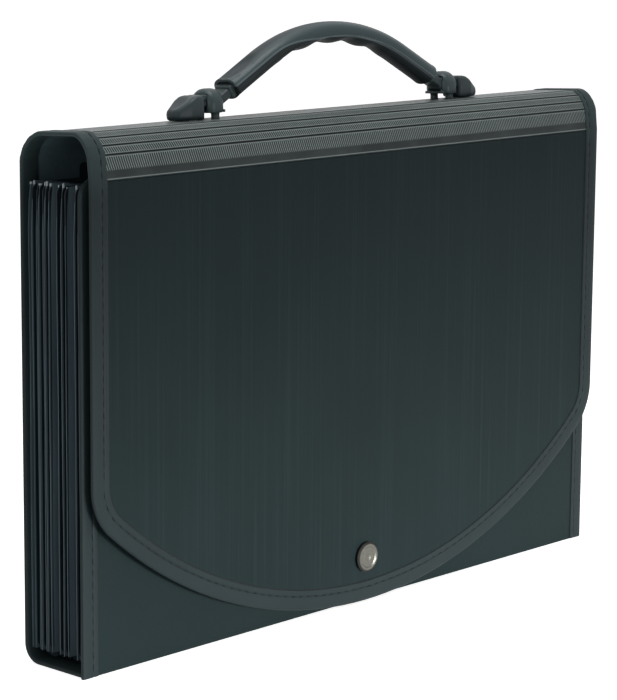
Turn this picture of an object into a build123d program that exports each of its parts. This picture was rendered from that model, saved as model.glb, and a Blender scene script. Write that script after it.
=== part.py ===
from build123d import *
import math
import os

os.makedirs("parts", exist_ok=True)

# An expanding file case that stands on its bottom edge, with its flap closed over the front.
# Lengths are millimetres. X runs along the width, +Y to the back, +Z up.
# The origin is the centre of the case's whole box, on the surface that it stands on.

# The cover: one plastic sheet, scored into panels and strips, with a stitched tape round its edges
sheet_wall = 1.2
tape_wall = 0.5
tape_width = 10.0
cover_width = 366.0
front_width = 369.0
case_depth = 41.0
fold_clearance = 0.15
back_bend_radius = 9.0

# The flap, which hangs in front of the front panel
flap_standoff = 4.4
crease_height = 225.0
flap_low_point = 1.5
flap_sweep_radius = 265.0
flap_corner_radius = 30.0

# The scored strips that carry the cover over the top. A heading of 90 runs straight up, 0 to the back
shoulder_length = 11.0
front_strip_length = 3.8
front_strip_headings = [84, 64, 50, 32]
crest_heading = -3
rear_strip_headings = [-27, -47, -68]
rear_strip_length = 5.2

# The front panel
front_panel_top = 226.5
front_corner_radius = 8.0
front_fold_clearance = 0.3

# The pockets: twelve dividers between two pleated gussets, over a pleated floor
divider_count = 12
divider_wall = 0.5
divider_margin = 1.0
divider_bottom = 6.6
divider_top = 221.5
divider_corner_radius = 4.0
tab_width = 44.0
tab_height = 7.0
tab_corner_radius = 2.5
tab_margin = 14.0
pocket_clearance = 0.3
pocket_back_clearance = 0.5
gusset_margin = 3.0
gusset_fold_depth = 14.0
gusset_wall = 0.35
gusset_fold_clearance = 0.15
floor_margin = 9.0
floor_wall = 0.5
floor_clearance = 0.3

# The snap fastener that holds the flap
snap_height = 24.1
cap_radius = 7.6
cap_height = 2.2
cap_dish_radius = 5.6
cap_dish_depth = 0.35
cap_edge_radius = 0.8
rivet_radius = 1.9
rivet_clearance = 0.1
socket_radius = 6.0
socket_height = 2.3
socket_bore_radius = 3.0
socket_floor = 0.5
stud_base_radius = 6.0
stud_base_height = 0.6
stud_radius = 2.1
stud_height = 3.7
stud_tip_radius = 0.6
stud_back_radius = 5.0
stud_back_height = 0.6

# The two keepers that hold the handle's strap to the top
keeper_spacing = 169.4
keeper_from_rear_fold = 8.4
keeper_length = 10.5
keeper_width = 15.0
keeper_lift = 3.0
keeper_height = 14.3
keeper_bar = 1.4
keeper_lip = 1.5
keeper_edge_radius = 1.2
keeper_post_radius = 2.0
keeper_post_spacing = 10.0
keeper_plate_length = 9.0
keeper_plate_margin = 1.0
keeper_plate_wall = 1.0
post_clearance = 0.1
post_end = 0.4

# The strap: its neck runs through the keeper and ends in an arrowhead
strap_width = 9.0
strap_wall = 4.6
strap_corner_radius = 1.2
strap_clearance = 0.3
strap_headroom = 2.3
strap_fold_inset = 0.6
strap_fold_gap = 0.8
arrow_length = 16.8
arrow_width = 13.0
arrow_height = 11.2
arrow_tip_height = 4.3
arrow_flat = 5.6
arrow_shoulder = 8.5
arrow_tip_width = 7.0
arrow_corner_radius = 2.2
arrow_edge_radius = 0.8
arrow_lift = 0.3
arrow_gap = 2.0

# The moulded grip: a curved middle with finger grooves and a straight arm at each end
grip_arc_radius = 110.0
grip_arm_length = 35.6
grip_width = 16.0
grip_wall_height = 11.4
grip_bore_width = 13.0
grip_bore_height = 8.0
grip_bare_strap = 10.2
arm_clearance = 0.15
finger_groove_radius = 8.0
finger_groove_depth = 1.4
finger_groove_pitch = 21.6
finger_groove_count = 4

cut_overrun = 2.0


def point_on(start, heading_degrees, length):
    """A point of the Y-Z plane at a length from start, where 0 degrees is +Y and 90 is +Z."""
    angle = math.radians(heading_degrees)
    return (start[0] + length * math.cos(angle), start[1] + length * math.sin(angle))


def extruded_yz(points, x_from, x_to):
    """A prism along X over an outline given in Y and Z."""
    face = make_face(Polyline(*points, close=True))
    return extrude(Plane.YZ.offset(x_from) * face, amount=x_to - x_from)


def extruded_xz(face, y_from, y_to):
    """A prism along +Y over a face drawn with X and Z."""
    return extrude(Plane.XZ.offset(-y_from) * face, amount=y_from - y_to)


def mirrored_pair(solid):
    """A solid and its mirror image across the middle of the width, as two separate solids."""
    return Compound(children=[solid, mirror(solid, about=Plane.YZ)])


def save(solid, name):
    export_step(solid, "parts/" + name + ".step")


# Levels through the cover, counted outwards from the inner face of the tape
sheet_low = tape_wall
sheet_high = tape_wall + sheet_wall
cover_wall = sheet_high + tape_wall
cover_half = cover_width / 2
sheet_half = cover_half - tape_wall

# Places from front to back
front_y = (flap_standoff + sheet_wall + cap_height - case_depth - tape_wall) / 2
front_inner_y = front_y + sheet_wall
flap_inner_y = front_y - flap_standoff
flap_outer_y = flap_inner_y - sheet_wall
flap_fold_y = flap_inner_y + tape_wall
back_y = front_y + case_depth
back_inner_y = back_y - sheet_wall
back_fold_y = back_inner_y - tape_wall

# Fold lines over the top, from the flap's crease to the top of the back panel
front_folds = [(flap_fold_y, crease_height)]
for heading in front_strip_headings:
    length = shoulder_length if len(front_folds) == 1 else front_strip_length
    front_folds.append(point_on(front_folds[-1], heading, length))
crest_fold = front_folds[-1]

rear_run = sum(rear_strip_length * math.cos(math.radians(turn)) for turn in rear_strip_headings)
crest_length = (back_fold_y - rear_run - crest_fold[0]) / math.cos(math.radians(crest_heading))
rear_folds = [point_on(crest_fold, crest_heading, crest_length)]
for heading in rear_strip_headings:
    rear_folds.append(point_on(rear_folds[-1], heading, rear_strip_length))

# Every fold in one row, and half the turn that the sheet makes at each. The score is cut from the
# inside, so the sheet turns about a line on its outer face and the strips' ends are mitred
folds = front_folds + rear_folds
headings = [90] + front_strip_headings + [crest_heading] + rear_strip_headings + [-90]
half_turns = [(headings[index] - headings[index + 1]) / 2 for index in range(len(folds))]
outer_folds = [
    point_on(fold, heading - half_turn + 90, cover_wall / math.cos(math.radians(half_turn)))
    for fold, heading, half_turn in zip(folds, headings, half_turns)
]


def mitre(fold_index, level):
    """How far a strip's end stands back from its fold line at a level, less than nothing outwards."""
    return fold_clearance - level * math.tan(math.radians(half_turns[fold_index]))


# The handle is drawn on its own seat: its origin is midway between the keepers, on the crest's
# outer face, with its Z square to the crest
seat_on_fold = point_on(crest_fold, crest_heading, crest_length - keeper_from_rear_fold)
seat_point = point_on(seat_on_fold, crest_heading + 90, sheet_high)
seat = Pos(0, seat_point[0], seat_point[1]) * Rot(crest_heading, 0, 0)


# Strips and their tape. Strip 0 is next to the flap, and strip i lies between folds i and i + 1
def strip_outline(index, low, high):
    """The outline of a strip with mitred ends, between two levels of the cover."""
    heading = headings[index + 1]
    corners = []
    for level in (low, high):
        first = point_on(folds[index], heading, mitre(index, level))
        last = point_on(folds[index + 1], heading, -mitre(index + 1, level))
        corners.append([point_on(first, heading + 90, level), point_on(last, heading + 90, level)])
    return corners[0] + corners[1][::-1]


def strip_sheet(index):
    return extruded_yz(strip_outline(index, sheet_low, sheet_high), -sheet_half, sheet_half)


def strip_tape(index):
    """The tape round both ends of a strip, folded over the sheet's edge."""
    inner_edge = cover_half - tape_width
    wrap = extruded_yz(strip_outline(index, 0, cover_wall), inner_edge, cover_half)
    sheet = extruded_yz(strip_outline(index, sheet_low, sheet_high), inner_edge - cut_overrun, sheet_half)
    return mirrored_pair(wrap - sheet)


crest_index = len(front_strip_headings)
crest_strip = strip_sheet(crest_index)
post_hole = Cylinder(keeper_post_radius + post_clearance, cover_wall + 2 * cut_overrun)
post_places = [
    (side * keeper_spacing / 2, row * keeper_post_spacing / 2)
    for side in (-1, 1)
    for row in (-1, 1)
]
for post_x, post_y in post_places:
    crest_strip -= seat * Pos(post_x, post_y) * post_hole
save(crest_strip, "crest_strip")
save(strip_tape(crest_index), "crest_tape")

for index in range(crest_index):
    name = "front_strip_" + str(index + 1)
    save(strip_sheet(index), name)
    save(strip_tape(index), name + "_tape")

for index in range(len(rear_strip_headings)):
    name = "rear_strip_" + str(index + 1)
    save(strip_sheet(crest_index + 1 + index), name)
    save(strip_tape(crest_index + 1 + index), name + "_tape")


# Back and bottom panels
def back_band(low, high):
    """The back's section with the bend at its foot, between two levels of the cover."""
    inner_radius = back_bend_radius - cover_wall
    centre_y = back_fold_y - inner_radius
    top = folds[-1][1]
    wall = make_face(Polyline(
        (back_fold_y + low, back_bend_radius),
        (back_fold_y + high, back_bend_radius),
        (back_fold_y + high, top - mitre(-1, high)),
        (back_fold_y + low, top - mitre(-1, low)),
        close=True))
    ring = Circle(inner_radius + high) - Circle(inner_radius + low)
    quarter = Rectangle(back_bend_radius, back_bend_radius, align=(Align.MIN, Align.MAX))
    return wall + Pos(centre_y, back_bend_radius) * (ring & quarter)


def bottom_band(low, high):
    """The bottom's section, between two levels of the cover."""
    start = front_inner_y + tape_wall + front_fold_clearance
    end = back_fold_y + cover_wall - back_bend_radius
    return make_face(Polyline(
        (start, cover_wall - high),
        (end, cover_wall - high),
        (end, cover_wall - low),
        (start, cover_wall - low),
        close=True))


def band_along_x(face, x_from, x_to):
    return extrude(Plane.YZ.offset(x_from) * face, amount=x_to - x_from)


save(band_along_x(back_band(sheet_low, sheet_high), -sheet_half, sheet_half), "back_panel")
save(band_along_x(bottom_band(sheet_low, sheet_high), -sheet_half, sheet_half), "bottom_panel")


def band_tape(band):
    inner_edge = cover_half - tape_width
    wrap = band_along_x(band(0, cover_wall), inner_edge, cover_half)
    sheet = band_along_x(band(sheet_low, sheet_high), inner_edge - cut_overrun, sheet_half)
    return mirrored_pair(wrap - sheet)


save(band_tape(back_band), "back_tape")
save(band_tape(bottom_band), "bottom_tape")


# Flap
def flap_face(inset):
    """The flap's outline, drawn in by inset: straight sides, round corners and one broad sweep."""
    half = cover_half - inset
    sweep = flap_sweep_radius - inset
    corner = flap_corner_radius - inset
    top = crease_height - fold_clearance
    sweep_centre_z = flap_low_point + flap_sweep_radius
    corner_x = half - corner
    corner_z = sweep_centre_z - math.sqrt((sweep - corner) ** 2 - corner_x ** 2)
    reach = sweep / (sweep - corner)
    meet_x = corner_x * reach
    meet_z = sweep_centre_z + (corner_z - sweep_centre_z) * reach
    turn = math.atan2(sweep_centre_z - corner_z, corner_x) / 2
    mid_x = corner_x + corner * math.cos(turn)
    mid_z = corner_z - corner * math.sin(turn)
    low_z = sweep_centre_z - sweep
    edges = [
        Line((-half, top), (half, top)),
        Line((half, top), (half, corner_z)),
        ThreePointArc((half, corner_z), (mid_x, mid_z), (meet_x, meet_z)),
        ThreePointArc((meet_x, meet_z), (0, low_z), (-meet_x, meet_z)),
        ThreePointArc((-meet_x, meet_z), (-mid_x, mid_z), (-half, corner_z)),
        Line((-half, corner_z), (-half, top)),
    ]
    return make_face(edges)


snap_hole = Pos(0, front_y, snap_height) * Rot(90, 0, 0) * Cylinder(
    rivet_radius + rivet_clearance, 2 * case_depth)
save(extruded_xz(flap_face(tape_wall), flap_outer_y, flap_inner_y) - snap_hole, "flap_panel")
flap_wrap = extruded_xz(flap_face(0), flap_outer_y - tape_wall, flap_fold_y)
flap_wrap -= extruded_xz(flap_face(tape_wall), flap_outer_y, flap_inner_y)
flap_window = extruded_xz(flap_face(tape_width), flap_outer_y - cut_overrun, flap_fold_y + cut_overrun)
flap_window_top = Pos(0, flap_inner_y, crease_height) * Box(
    cover_width - 2 * tape_width, cover_wall + 2 * cut_overrun, 2 * cut_overrun)
save(flap_wrap - flap_window - flap_window_top, "flap_tape")


# Front panel
def front_face(inset):
    half = front_width / 2 - inset
    top = front_panel_top - inset
    radius = max(front_corner_radius - inset, tape_wall)
    corner = math.sqrt(1 / 2) * radius
    low = front_fold_clearance
    edges = [
        Line((-half, low), (half, low)),
        Line((half, low), (half, top - radius)),
        ThreePointArc((half, top - radius), (half - radius + corner, top - radius + corner), (half - radius, top)),
        Line((half - radius, top), (radius - half, top)),
        ThreePointArc((radius - half, top), (radius - half - corner, top - radius + corner), (-half, top - radius)),
        Line((-half, top - radius), (-half, low)),
    ]
    return make_face(edges)


save(extruded_xz(front_face(tape_wall), front_y, front_inner_y) - snap_hole, "front_panel")
front_wrap = extruded_xz(front_face(0), front_y - tape_wall, front_inner_y + tape_wall)
front_wrap -= extruded_xz(front_face(tape_wall), front_y, front_inner_y)
front_window = extruded_xz(front_face(tape_width), front_y - cut_overrun, front_inner_y + cut_overrun)
save(front_wrap - front_window, "front_tape")

# Pockets, with the gussets' outer folds just inside the cover's side edges
gusset_outer = cover_half - gusset_margin
divider_width = 2 * (gusset_outer - divider_margin)
floor_width = 2 * (gusset_outer - floor_margin)
pocket_front = front_inner_y + tape_wall + pocket_clearance
pocket_back = back_fold_y - pocket_back_clearance
pocket_pitch = (pocket_back - pocket_front) / (divider_count + 1)
divider_places = [pocket_back - pocket_pitch * (index + 1) for index in range(divider_count)]

# A leaf's wall is thin square to its slope, so it is much longer along X
leaf_reach = pocket_pitch / 2 - gusset_fold_clearance
leaf_shift = gusset_wall * math.hypot(gusset_fold_depth, leaf_reach) / leaf_reach


def gusset_leaf(fold_y, towards):
    """One leaf of the right-hand gusset, from its outer fold at fold_y; towards is 1 for the back."""
    inner_x = gusset_outer - gusset_fold_depth
    inner_y = fold_y + towards * leaf_reach
    face = make_face(Polyline(
        (gusset_outer, fold_y),
        (inner_x, inner_y),
        (inner_x - leaf_shift, inner_y),
        (gusset_outer - leaf_shift, fold_y),
        close=True))
    return extrude(Pos(0, 0, divider_bottom) * face, amount=divider_top - divider_bottom)


def divider(index):
    """A divider sheet with a plain index tab, and the gusset leaves that are welded to its ends."""
    height = divider_top - divider_bottom
    sheet = Pos(0, divider_bottom) * RectangleRounded(
        divider_width, height, divider_corner_radius, align=(Align.CENTER, Align.MIN))
    span = divider_width - 2 * gusset_fold_depth - 2 * tab_margin - tab_width
    tab_x = -span / 2 + span * index / (divider_count - 1)
    tab = Pos(tab_x, divider_top - tab_height) * RectangleRounded(
        tab_width, 2 * tab_height, tab_corner_radius, align=(Align.CENTER, Align.MIN))
    middle = divider_places[index]
    solid = extruded_xz(sheet + tab, middle - divider_wall / 2, middle + divider_wall / 2)
    for towards in (-1, 1):
        leaf = gusset_leaf(middle, towards)
        solid += leaf
        solid += mirror(leaf, about=Plane.YZ)
    return solid


for index in range(divider_count):
    save(divider(index), "divider_%02d" % (index + 1))
save(mirrored_pair(gusset_leaf(pocket_back, -1)), "gusset_back")
save(mirrored_pair(gusset_leaf(pocket_front, 1)), "gusset_front")


def pocket_floor():
    """The pleated strip under the dividers, with a ridge below each divider."""
    low = cover_wall - sheet_low
    high = divider_bottom - floor_clearance
    end = back_fold_y + cover_wall - back_bend_radius
    ridges = [place for place in divider_places if place + pocket_pitch / 2 < end]
    lower = [(ridges[0] + pocket_pitch / 2, low)]
    for place in ridges:
        lower.append((place, high - floor_rise))
        lower.append((place - pocket_pitch / 2, low))
    upper = [(y, z + floor_rise) for y, z in reversed(lower)]
    return extruded_yz(lower + upper, -floor_width / 2, floor_width / 2)


floor_slope = math.atan2(divider_bottom - floor_clearance - cover_wall, pocket_pitch / 2)
floor_rise = floor_wall / math.cos(floor_slope)
save(pocket_floor(), "pocket_floor")


# Snap fastener, drawn about its own axis and then turned to point out of the front
def turned(points):
    """A turned piece: points give radius and distance out towards the front."""
    face = make_face(Polyline(*points, close=True))
    return revolve(Plane.XZ * face, axis=Axis.Z)


def at_snap(solid, y):
    return Pos(0, y, snap_height) * Rot(90, 0, 0) * solid


cap_body = turned([
    (0, -sheet_wall),
    (rivet_radius, -sheet_wall),
    (rivet_radius, 0),
    (cap_radius, 0),
    (cap_radius, cap_height - cap_edge_radius),
    (cap_radius - cap_edge_radius, cap_height),
    (cap_dish_radius, cap_height),
    (cap_dish_radius - cap_edge_radius, cap_height - cap_dish_depth),
    (0, cap_height - cap_dish_depth)])
save(at_snap(cap_body, flap_outer_y), "snap_cap")

socket_body = turned([
    (0, 0),
    (socket_radius, 0),
    (socket_radius, -socket_height + socket_floor),
    (socket_radius - socket_floor, -socket_height),
    (socket_bore_radius, -socket_height),
    (socket_bore_radius, -socket_floor),
    (0, -socket_floor)])
save(at_snap(socket_body, flap_inner_y), "snap_socket")

stud_body = turned([
    (0, 0),
    (stud_base_radius, 0),
    (stud_base_radius - stud_tip_radius, stud_base_height),
    (stud_radius, stud_base_height),
    (stud_radius, stud_height - stud_tip_radius),
    (stud_radius - stud_tip_radius, stud_height),
    (0, stud_height)])
save(at_snap(stud_body, front_y), "snap_stud")

stud_back = turned([
    (0, -stud_back_height),
    (stud_back_radius, -stud_back_height),
    (stud_back_radius, 0),
    (rivet_radius, 0),
    (rivet_radius, sheet_wall),
    (0, sheet_wall)])
save(at_snap(stud_back, front_inner_y), "snap_stud_back")


# Keepers, drawn on the seat at the right-hand end, with the lip towards the middle
keeper_x = keeper_spacing / 2
slot_bottom = keeper_lift + keeper_bar
slot_height = strap_wall + 2 * strap_clearance + strap_headroom
strap_z = slot_bottom + slot_height / 2


def keeper():
    """A moulded loop on two posts, round-topped across the case."""
    straight = keeper_height - keeper_width / 2
    half = keeper_width / 2
    loop = make_face([
        Line((-half, keeper_lift), (half, keeper_lift)),
        Line((half, keeper_lift), (half, straight)),
        ThreePointArc((half, straight), (0, keeper_height), (-half, straight)),
        Line((-half, straight), (-half, keeper_lift)),
    ])
    body = extrude(Plane.YZ.offset(-keeper_length / 2) * loop, amount=keeper_length)
    body = fillet(body.edges().filter_by(GeomType.CIRCLE), keeper_edge_radius)
    slot = RectangleRounded(
        strap_width + 2 * strap_clearance, slot_height, strap_corner_radius, align=(Align.CENTER, Align.MIN))
    body -= extrude(Plane.YZ.offset(-keeper_length) * Pos(0, slot_bottom) * slot, amount=2 * keeper_length)
    lip_height = keeper_bar - strap_clearance
    body += Pos(-keeper_length / 2 - keeper_lip / 2, 0, keeper_lift + lip_height / 2) * Box(
        keeper_lip, keeper_width - 2 * keeper_lip, lip_height)
    post_length = keeper_lift + sheet_wall + keeper_plate_wall + post_end
    post = Cylinder(keeper_post_radius, post_length, align=(Align.CENTER, Align.CENTER, Align.MAX))
    for row in (-1, 1):
        body += Pos(0, row * keeper_post_spacing / 2, keeper_lift) * post
    return Pos(keeper_x) * body


def on_seat(solid, name):
    """Saves a piece of the handle's right-hand end, and its mirror image for the left-hand end."""
    placed = seat * solid
    save(placed, name + "_right")
    save(mirror(placed, about=Plane.YZ), name + "_left")


on_seat(keeper(), "keeper")

plate_width = keeper_post_spacing + 2 * (keeper_post_radius + keeper_plate_margin)
plate = Box(keeper_plate_length, plate_width, keeper_plate_wall, align=(Align.CENTER, Align.CENTER, Align.MAX))
plate = fillet(plate.edges().filter_by(Axis.Z), keeper_plate_margin)
plate = Pos(keeper_x, 0, -sheet_wall) * plate
for row in (-1, 1):
    plate -= Pos(keeper_x, row * keeper_post_spacing / 2, -sheet_wall) * post_hole
save(mirrored_pair(seat * plate), "keeper_plates")

# The strap's neck starts at its fold, just inside the keeper's mouth
neck_start = keeper_x - keeper_length / 2 + strap_fold_inset
arrow_start = keeper_x + keeper_length / 2 + arrow_gap

# The grip is an arc, then a straight arm that runs on as a tangent to the neck's start
grip_middle_radius = grip_arc_radius - grip_wall_height / 2
to_neck = math.hypot(grip_middle_radius, grip_arm_length)
slope = math.asin(neck_start / to_neck) - math.atan(grip_arm_length / grip_middle_radius)
slope_degrees = math.degrees(slope)
arc_centre_z = strap_z - math.sqrt(to_neck ** 2 - neck_start ** 2)
sleeve_length = grip_arm_length - grip_bare_strap


def strap_section():
    return RectangleRounded(strap_width, strap_wall, strap_corner_radius)


def arrowhead():
    """The barbed end of the strap, with its inner face at x = 0 and its base at z = 0."""
    side = make_face(Polyline(
        (0, 0),
        (arrow_length, 0),
        (arrow_length, arrow_tip_height),
        (arrow_flat, arrow_height),
        (0, arrow_height),
        close=True))
    plan = make_face(Polyline(
        (0, -arrow_width / 2),
        (arrow_shoulder, -arrow_width / 2),
        (arrow_length, -arrow_tip_width / 2),
        (arrow_length, arrow_tip_width / 2),
        (arrow_shoulder, arrow_width / 2),
        (0, arrow_width / 2),
        close=True))
    wedge = extruded_xz(side, -arrow_width / 2, arrow_width / 2)
    wedge = wedge & extrude(plan, amount=arrow_height)
    wedge = fillet(wedge.edges().filter_by(Axis.Z), arrow_corner_radius)
    top_edges = wedge.edges().filter_by(lambda edge: edge.center().Z > arrow_tip_height)
    return fillet(top_edges, arrow_edge_radius)


def strap_end():
    """An arrowhead with the neck that runs back through the keeper to the strap's fold."""
    reach = arrow_start - neck_start
    neck = extrude(
        Plane.YZ.offset(neck_start - strap_wall) * Pos(0, strap_z) * strap_section(),
        amount=reach + strap_wall + cut_overrun)
    fold_cut = Pos(neck_start, 0, strap_z) * Rot(0, slope_degrees, 0) * Pos(strap_fold_gap) * Box(
        2 * strap_width, 2 * strap_width, 4 * strap_wall, align=(Align.MAX, Align.CENTER, Align.CENTER))
    return neck - fold_cut + Pos(arrow_start, 0, arrow_lift) * arrowhead()


on_seat(strap_end(), "arrowhead")


def ring_arc(section, half_degrees):
    """A section swept round the grip's own centre, over an equal angle to each side of the top."""
    start = Rot(0, -half_degrees, 0) * (Plane.YZ * Pos(0, grip_middle_radius) * section)
    ring = revolve(start, axis=Axis.Y, revolution_arc=2 * half_degrees)
    return Pos(0, 0, arc_centre_z) * ring


def along_arm(section, begin, length):
    """A section extruded down the right-hand arm, from begin past the end of the arc."""
    start = Plane.YZ.offset(begin) * Pos(0, grip_middle_radius) * section
    return Pos(0, 0, arc_centre_z) * Rot(0, slope_degrees, 0) * extrude(start, amount=length)


sleeve_section = Ellipse(grip_width / 2, grip_wall_height / 2)
bore_section = Ellipse(grip_bore_width / 2, grip_bore_height / 2)
middle_degrees = slope_degrees - math.degrees(arm_clearance / grip_arc_radius)

grip_middle = ring_arc(sleeve_section, middle_degrees) - ring_arc(bore_section, slope_degrees)
finger_groove = Rot(90, 0, 0) * Cylinder(finger_groove_radius, 2 * grip_width)
groove_reach = grip_arc_radius - grip_wall_height - finger_groove_radius + finger_groove_depth
for index in range(finger_groove_count):
    place = (index - (finger_groove_count - 1) / 2) * finger_groove_pitch
    turn = math.degrees(place / grip_middle_radius)
    grip_middle -= Pos(0, 0, arc_centre_z) * Rot(0, turn, 0) * Pos(0, 0, groove_reach) * finger_groove
save(seat * grip_middle, "grip_middle")
save(seat * ring_arc(strap_section(), middle_degrees), "strap_middle")

arm_sleeve = along_arm(sleeve_section, arm_clearance, sleeve_length - arm_clearance)
arm_sleeve -= along_arm(bore_section, 0, sleeve_length + cut_overrun)
on_seat(arm_sleeve, "grip_arm")
on_seat(along_arm(strap_section(), arm_clearance, grip_arm_length - arm_clearance), "strap_arm")

print("seat", round(seat_point[0], 2), round(seat_point[1], 2), "slope", round(slope_degrees, 2))
print("crest length", round(crest_length, 2), "pocket pitch", round(pocket_pitch, 3))
print("grip rise", round(arc_centre_z + grip_arc_radius, 2))
print("front face", round(front_y, 2), "back face", round(back_y, 2))
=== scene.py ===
# %% [markdown]
# # Expanding file case
# The case is a scored plastic cover over twelve pockets, with a moulded handle and a snap on its flap.
# The measured solids come in as a fixed frame. This lesson gives them their finishes and builds the
# pieces that a solid can't show: pleats, sewn tape, stitches and the soft shapes of the handle.
# Everything is in metres, in the frame's own place, so nothing has to be fitted.

# %% Load the frame
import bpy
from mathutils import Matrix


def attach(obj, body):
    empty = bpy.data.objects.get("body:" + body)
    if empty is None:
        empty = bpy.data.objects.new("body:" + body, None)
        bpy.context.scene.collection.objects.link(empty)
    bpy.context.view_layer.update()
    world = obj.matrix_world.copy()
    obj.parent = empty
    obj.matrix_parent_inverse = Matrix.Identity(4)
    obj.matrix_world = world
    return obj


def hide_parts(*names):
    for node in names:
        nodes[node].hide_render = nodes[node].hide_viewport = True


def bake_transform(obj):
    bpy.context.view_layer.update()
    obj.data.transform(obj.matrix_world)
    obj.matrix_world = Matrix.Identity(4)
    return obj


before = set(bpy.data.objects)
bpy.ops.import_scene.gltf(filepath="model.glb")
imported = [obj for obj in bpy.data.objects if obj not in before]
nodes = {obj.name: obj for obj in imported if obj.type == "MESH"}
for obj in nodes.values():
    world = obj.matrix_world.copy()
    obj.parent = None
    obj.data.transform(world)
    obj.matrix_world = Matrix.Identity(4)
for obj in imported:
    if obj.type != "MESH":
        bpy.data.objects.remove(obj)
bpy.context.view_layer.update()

import math
import random

import bmesh
import bpy
from mathutils import Matrix, Vector

MM = 0.001

# %% [markdown]
# ## Camera
# A long lens from the left and slightly above keeps the verticals nearly upright, as in a catalogue
# picture. The view direction is worked out from two angles, and a small roll levels the picture.

# %% Camera
CAMERA_PLACE = Vector((-0.9415, -0.85395, 0.3548))
CAMERA_YAW = math.radians(-47.22)
CAMERA_DIP = math.radians(10.23)
CAMERA_ROLL = math.radians(0.46)
CAMERA_LENS = 133.79

ahead = Vector((-math.sin(CAMERA_YAW) * math.cos(CAMERA_DIP),
                math.cos(CAMERA_YAW) * math.cos(CAMERA_DIP),
                -math.sin(CAMERA_DIP)))
level_right = Vector((math.cos(CAMERA_YAW), math.sin(CAMERA_YAW), 0))
level_up = level_right.cross(ahead)
right = math.cos(CAMERA_ROLL) * level_right + math.sin(CAMERA_ROLL) * level_up
up = right.cross(ahead)
turn = Matrix((right, up, -ahead)).transposed().to_4x4()
bpy.ops.object.select_all(action="DESELECT")
bpy.ops.object.camera_add(location=CAMERA_PLACE, rotation=turn.to_euler())
camera = bpy.context.object
camera.data.lens = CAMERA_LENS
camera.data.clip_start = 0.05
bpy.context.scene.camera = camera
bpy.context.scene.view_settings.view_transform = "Standard"
print("camera looks along", [round(value, 3) for value in ahead])

# %% [markdown]
# ## Light
# Four soft lamps stand as a photographer's would: a broad one high behind the case, a low and narrow one
# that lifts the foot of the front, one at the left that reaches in between the pleats, and a small one
# over the top that makes the strips and the handle shine. The world's own light comes with the floor.

# %% Lamps
def lamp(name, place, target, width, height, power, spread=180):
    """A soft light at a place, turned to a target; spread is the angle that its light fans out to."""
    look = (Vector(target) - Vector(place)).to_track_quat("-Z", "Y").to_euler()
    bpy.ops.object.light_add(type="AREA", location=place, rotation=look)
    light = bpy.context.object
    light.name = name
    light.data.shape = "RECTANGLE"
    light.data.size = width
    light.data.size_y = height
    light.data.energy = power
    light.data.spread = math.radians(spread)


lamp("top_light", (0.1, 0.4, 1.6), (0, 0, 0.2), 1.1, 1.1, 5)
lamp("low_light", (0.1, -1.1, 0.1), (0.05, 0, -0.05), 1.5, 0.2, 2.8, 32)
lamp("left_light", (-1.5, -0.45, 0.42), (-0.15, 0, 0.16), 0.6, 0.6, 3.8)
lamp("strip_light", (0.02, -0.13, 1.03), (-0.02, 0, 0.27), 0.4, 0.4, 3.8)
print("lamps set")


# %% [markdown]
# ## Shader maths
# A finish is a small graph of nodes. One class wraps a socket, so that a pattern can be written as a sum
# or a product, and one method adds any other node: its settings first, then its sockets. The methods
# after it name what the finishes use again and again, such as waves, soft steps and noise.

# %% Wires
class Wire:
    """A socket in a material's graph. Sums and products of wires add Math nodes."""

    def __init__(self, tree, socket=None):
        self.tree = tree
        self.socket = socket

    def node(self, kind, settings, inputs, output=0):
        """Adds a node to the graph and gives the wire that leaves it."""
        added = self.tree.nodes.new(kind)
        for name, value in settings.items():
            setattr(added, name, value)
        for name, value in inputs.items():
            if isinstance(value, Wire):
                self.tree.links.new(value.socket, added.inputs[name])
            else:
                added.inputs[name].default_value = value
        return Wire(self.tree, added.outputs[output])

    def maths(self, operation, *values):
        return self.node("ShaderNodeMath", {"operation": operation}, dict(enumerate(values)))

    def __add__(self, other):
        return self.maths("ADD", self, other)

    def __sub__(self, other):
        return self.maths("SUBTRACT", self, other)

    def __rsub__(self, other):
        return self.maths("SUBTRACT", other, self)

    def __mul__(self, other):
        return self.maths("MULTIPLY", self, other)

    __radd__ = __add__
    __rmul__ = __mul__

    def wave(self, length):
        """A sine from -1 to 1 that repeats along the wire's value every length metres."""
        return self.maths("SINE", self * (2 * math.pi / length))

    def ramp(self, low, high):
        """0 below low and 1 above high, with a soft step between."""
        return self.node("ShaderNodeMapRange", {"interpolation_type": "SMOOTHSTEP"},
                         {"Value": self, "From Min": low, "From Max": high})

    def noise(self, scale, detail=2.0, stretch=(1, 1, 1)):
        """Noise of about 0.5 on a place. Scale is in features per metre, before the stretch."""
        stretched = self.node("ShaderNodeVectorMath", {"operation": "MULTIPLY"}, {0: self, 1: stretch})
        return self.node("ShaderNodeTexNoise", {},
                         {"Vector": stretched, "Scale": scale, "Detail": detail})

    def between(self, low, high):
        """The wire as a mask: the first colour or wire where it is 0, the second where it is 1."""
        return self.node("ShaderNodeMix", {"data_type": "RGBA"}, {0: self, 6: low, 7: high}, 2)


def paint(red, green, blue):
    """A colour as it shows on screen, from 0 to 255, as the values that light is worked out in."""
    shares = [value / 255 for value in (red, green, blue)]
    return tuple(s / 12.92 if s <= 0.04045 else ((s + 0.055) / 1.055) ** 2.4 for s in shares) + (1,)


def new_finish(name, **shine):
    """A material with its shader's constant values set, and a wire to the place on the object."""
    material = bpy.data.materials.new(name)
    material.use_nodes = True
    tree = material.node_tree
    shader = tree.nodes["Principled BSDF"]
    for socket, value in shine.items():
        shader.inputs[socket.replace("_", " ")].default_value = value
    place = Wire(tree).node("ShaderNodeTexCoord", {}, {}, "Object")
    return material, shader, place


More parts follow.
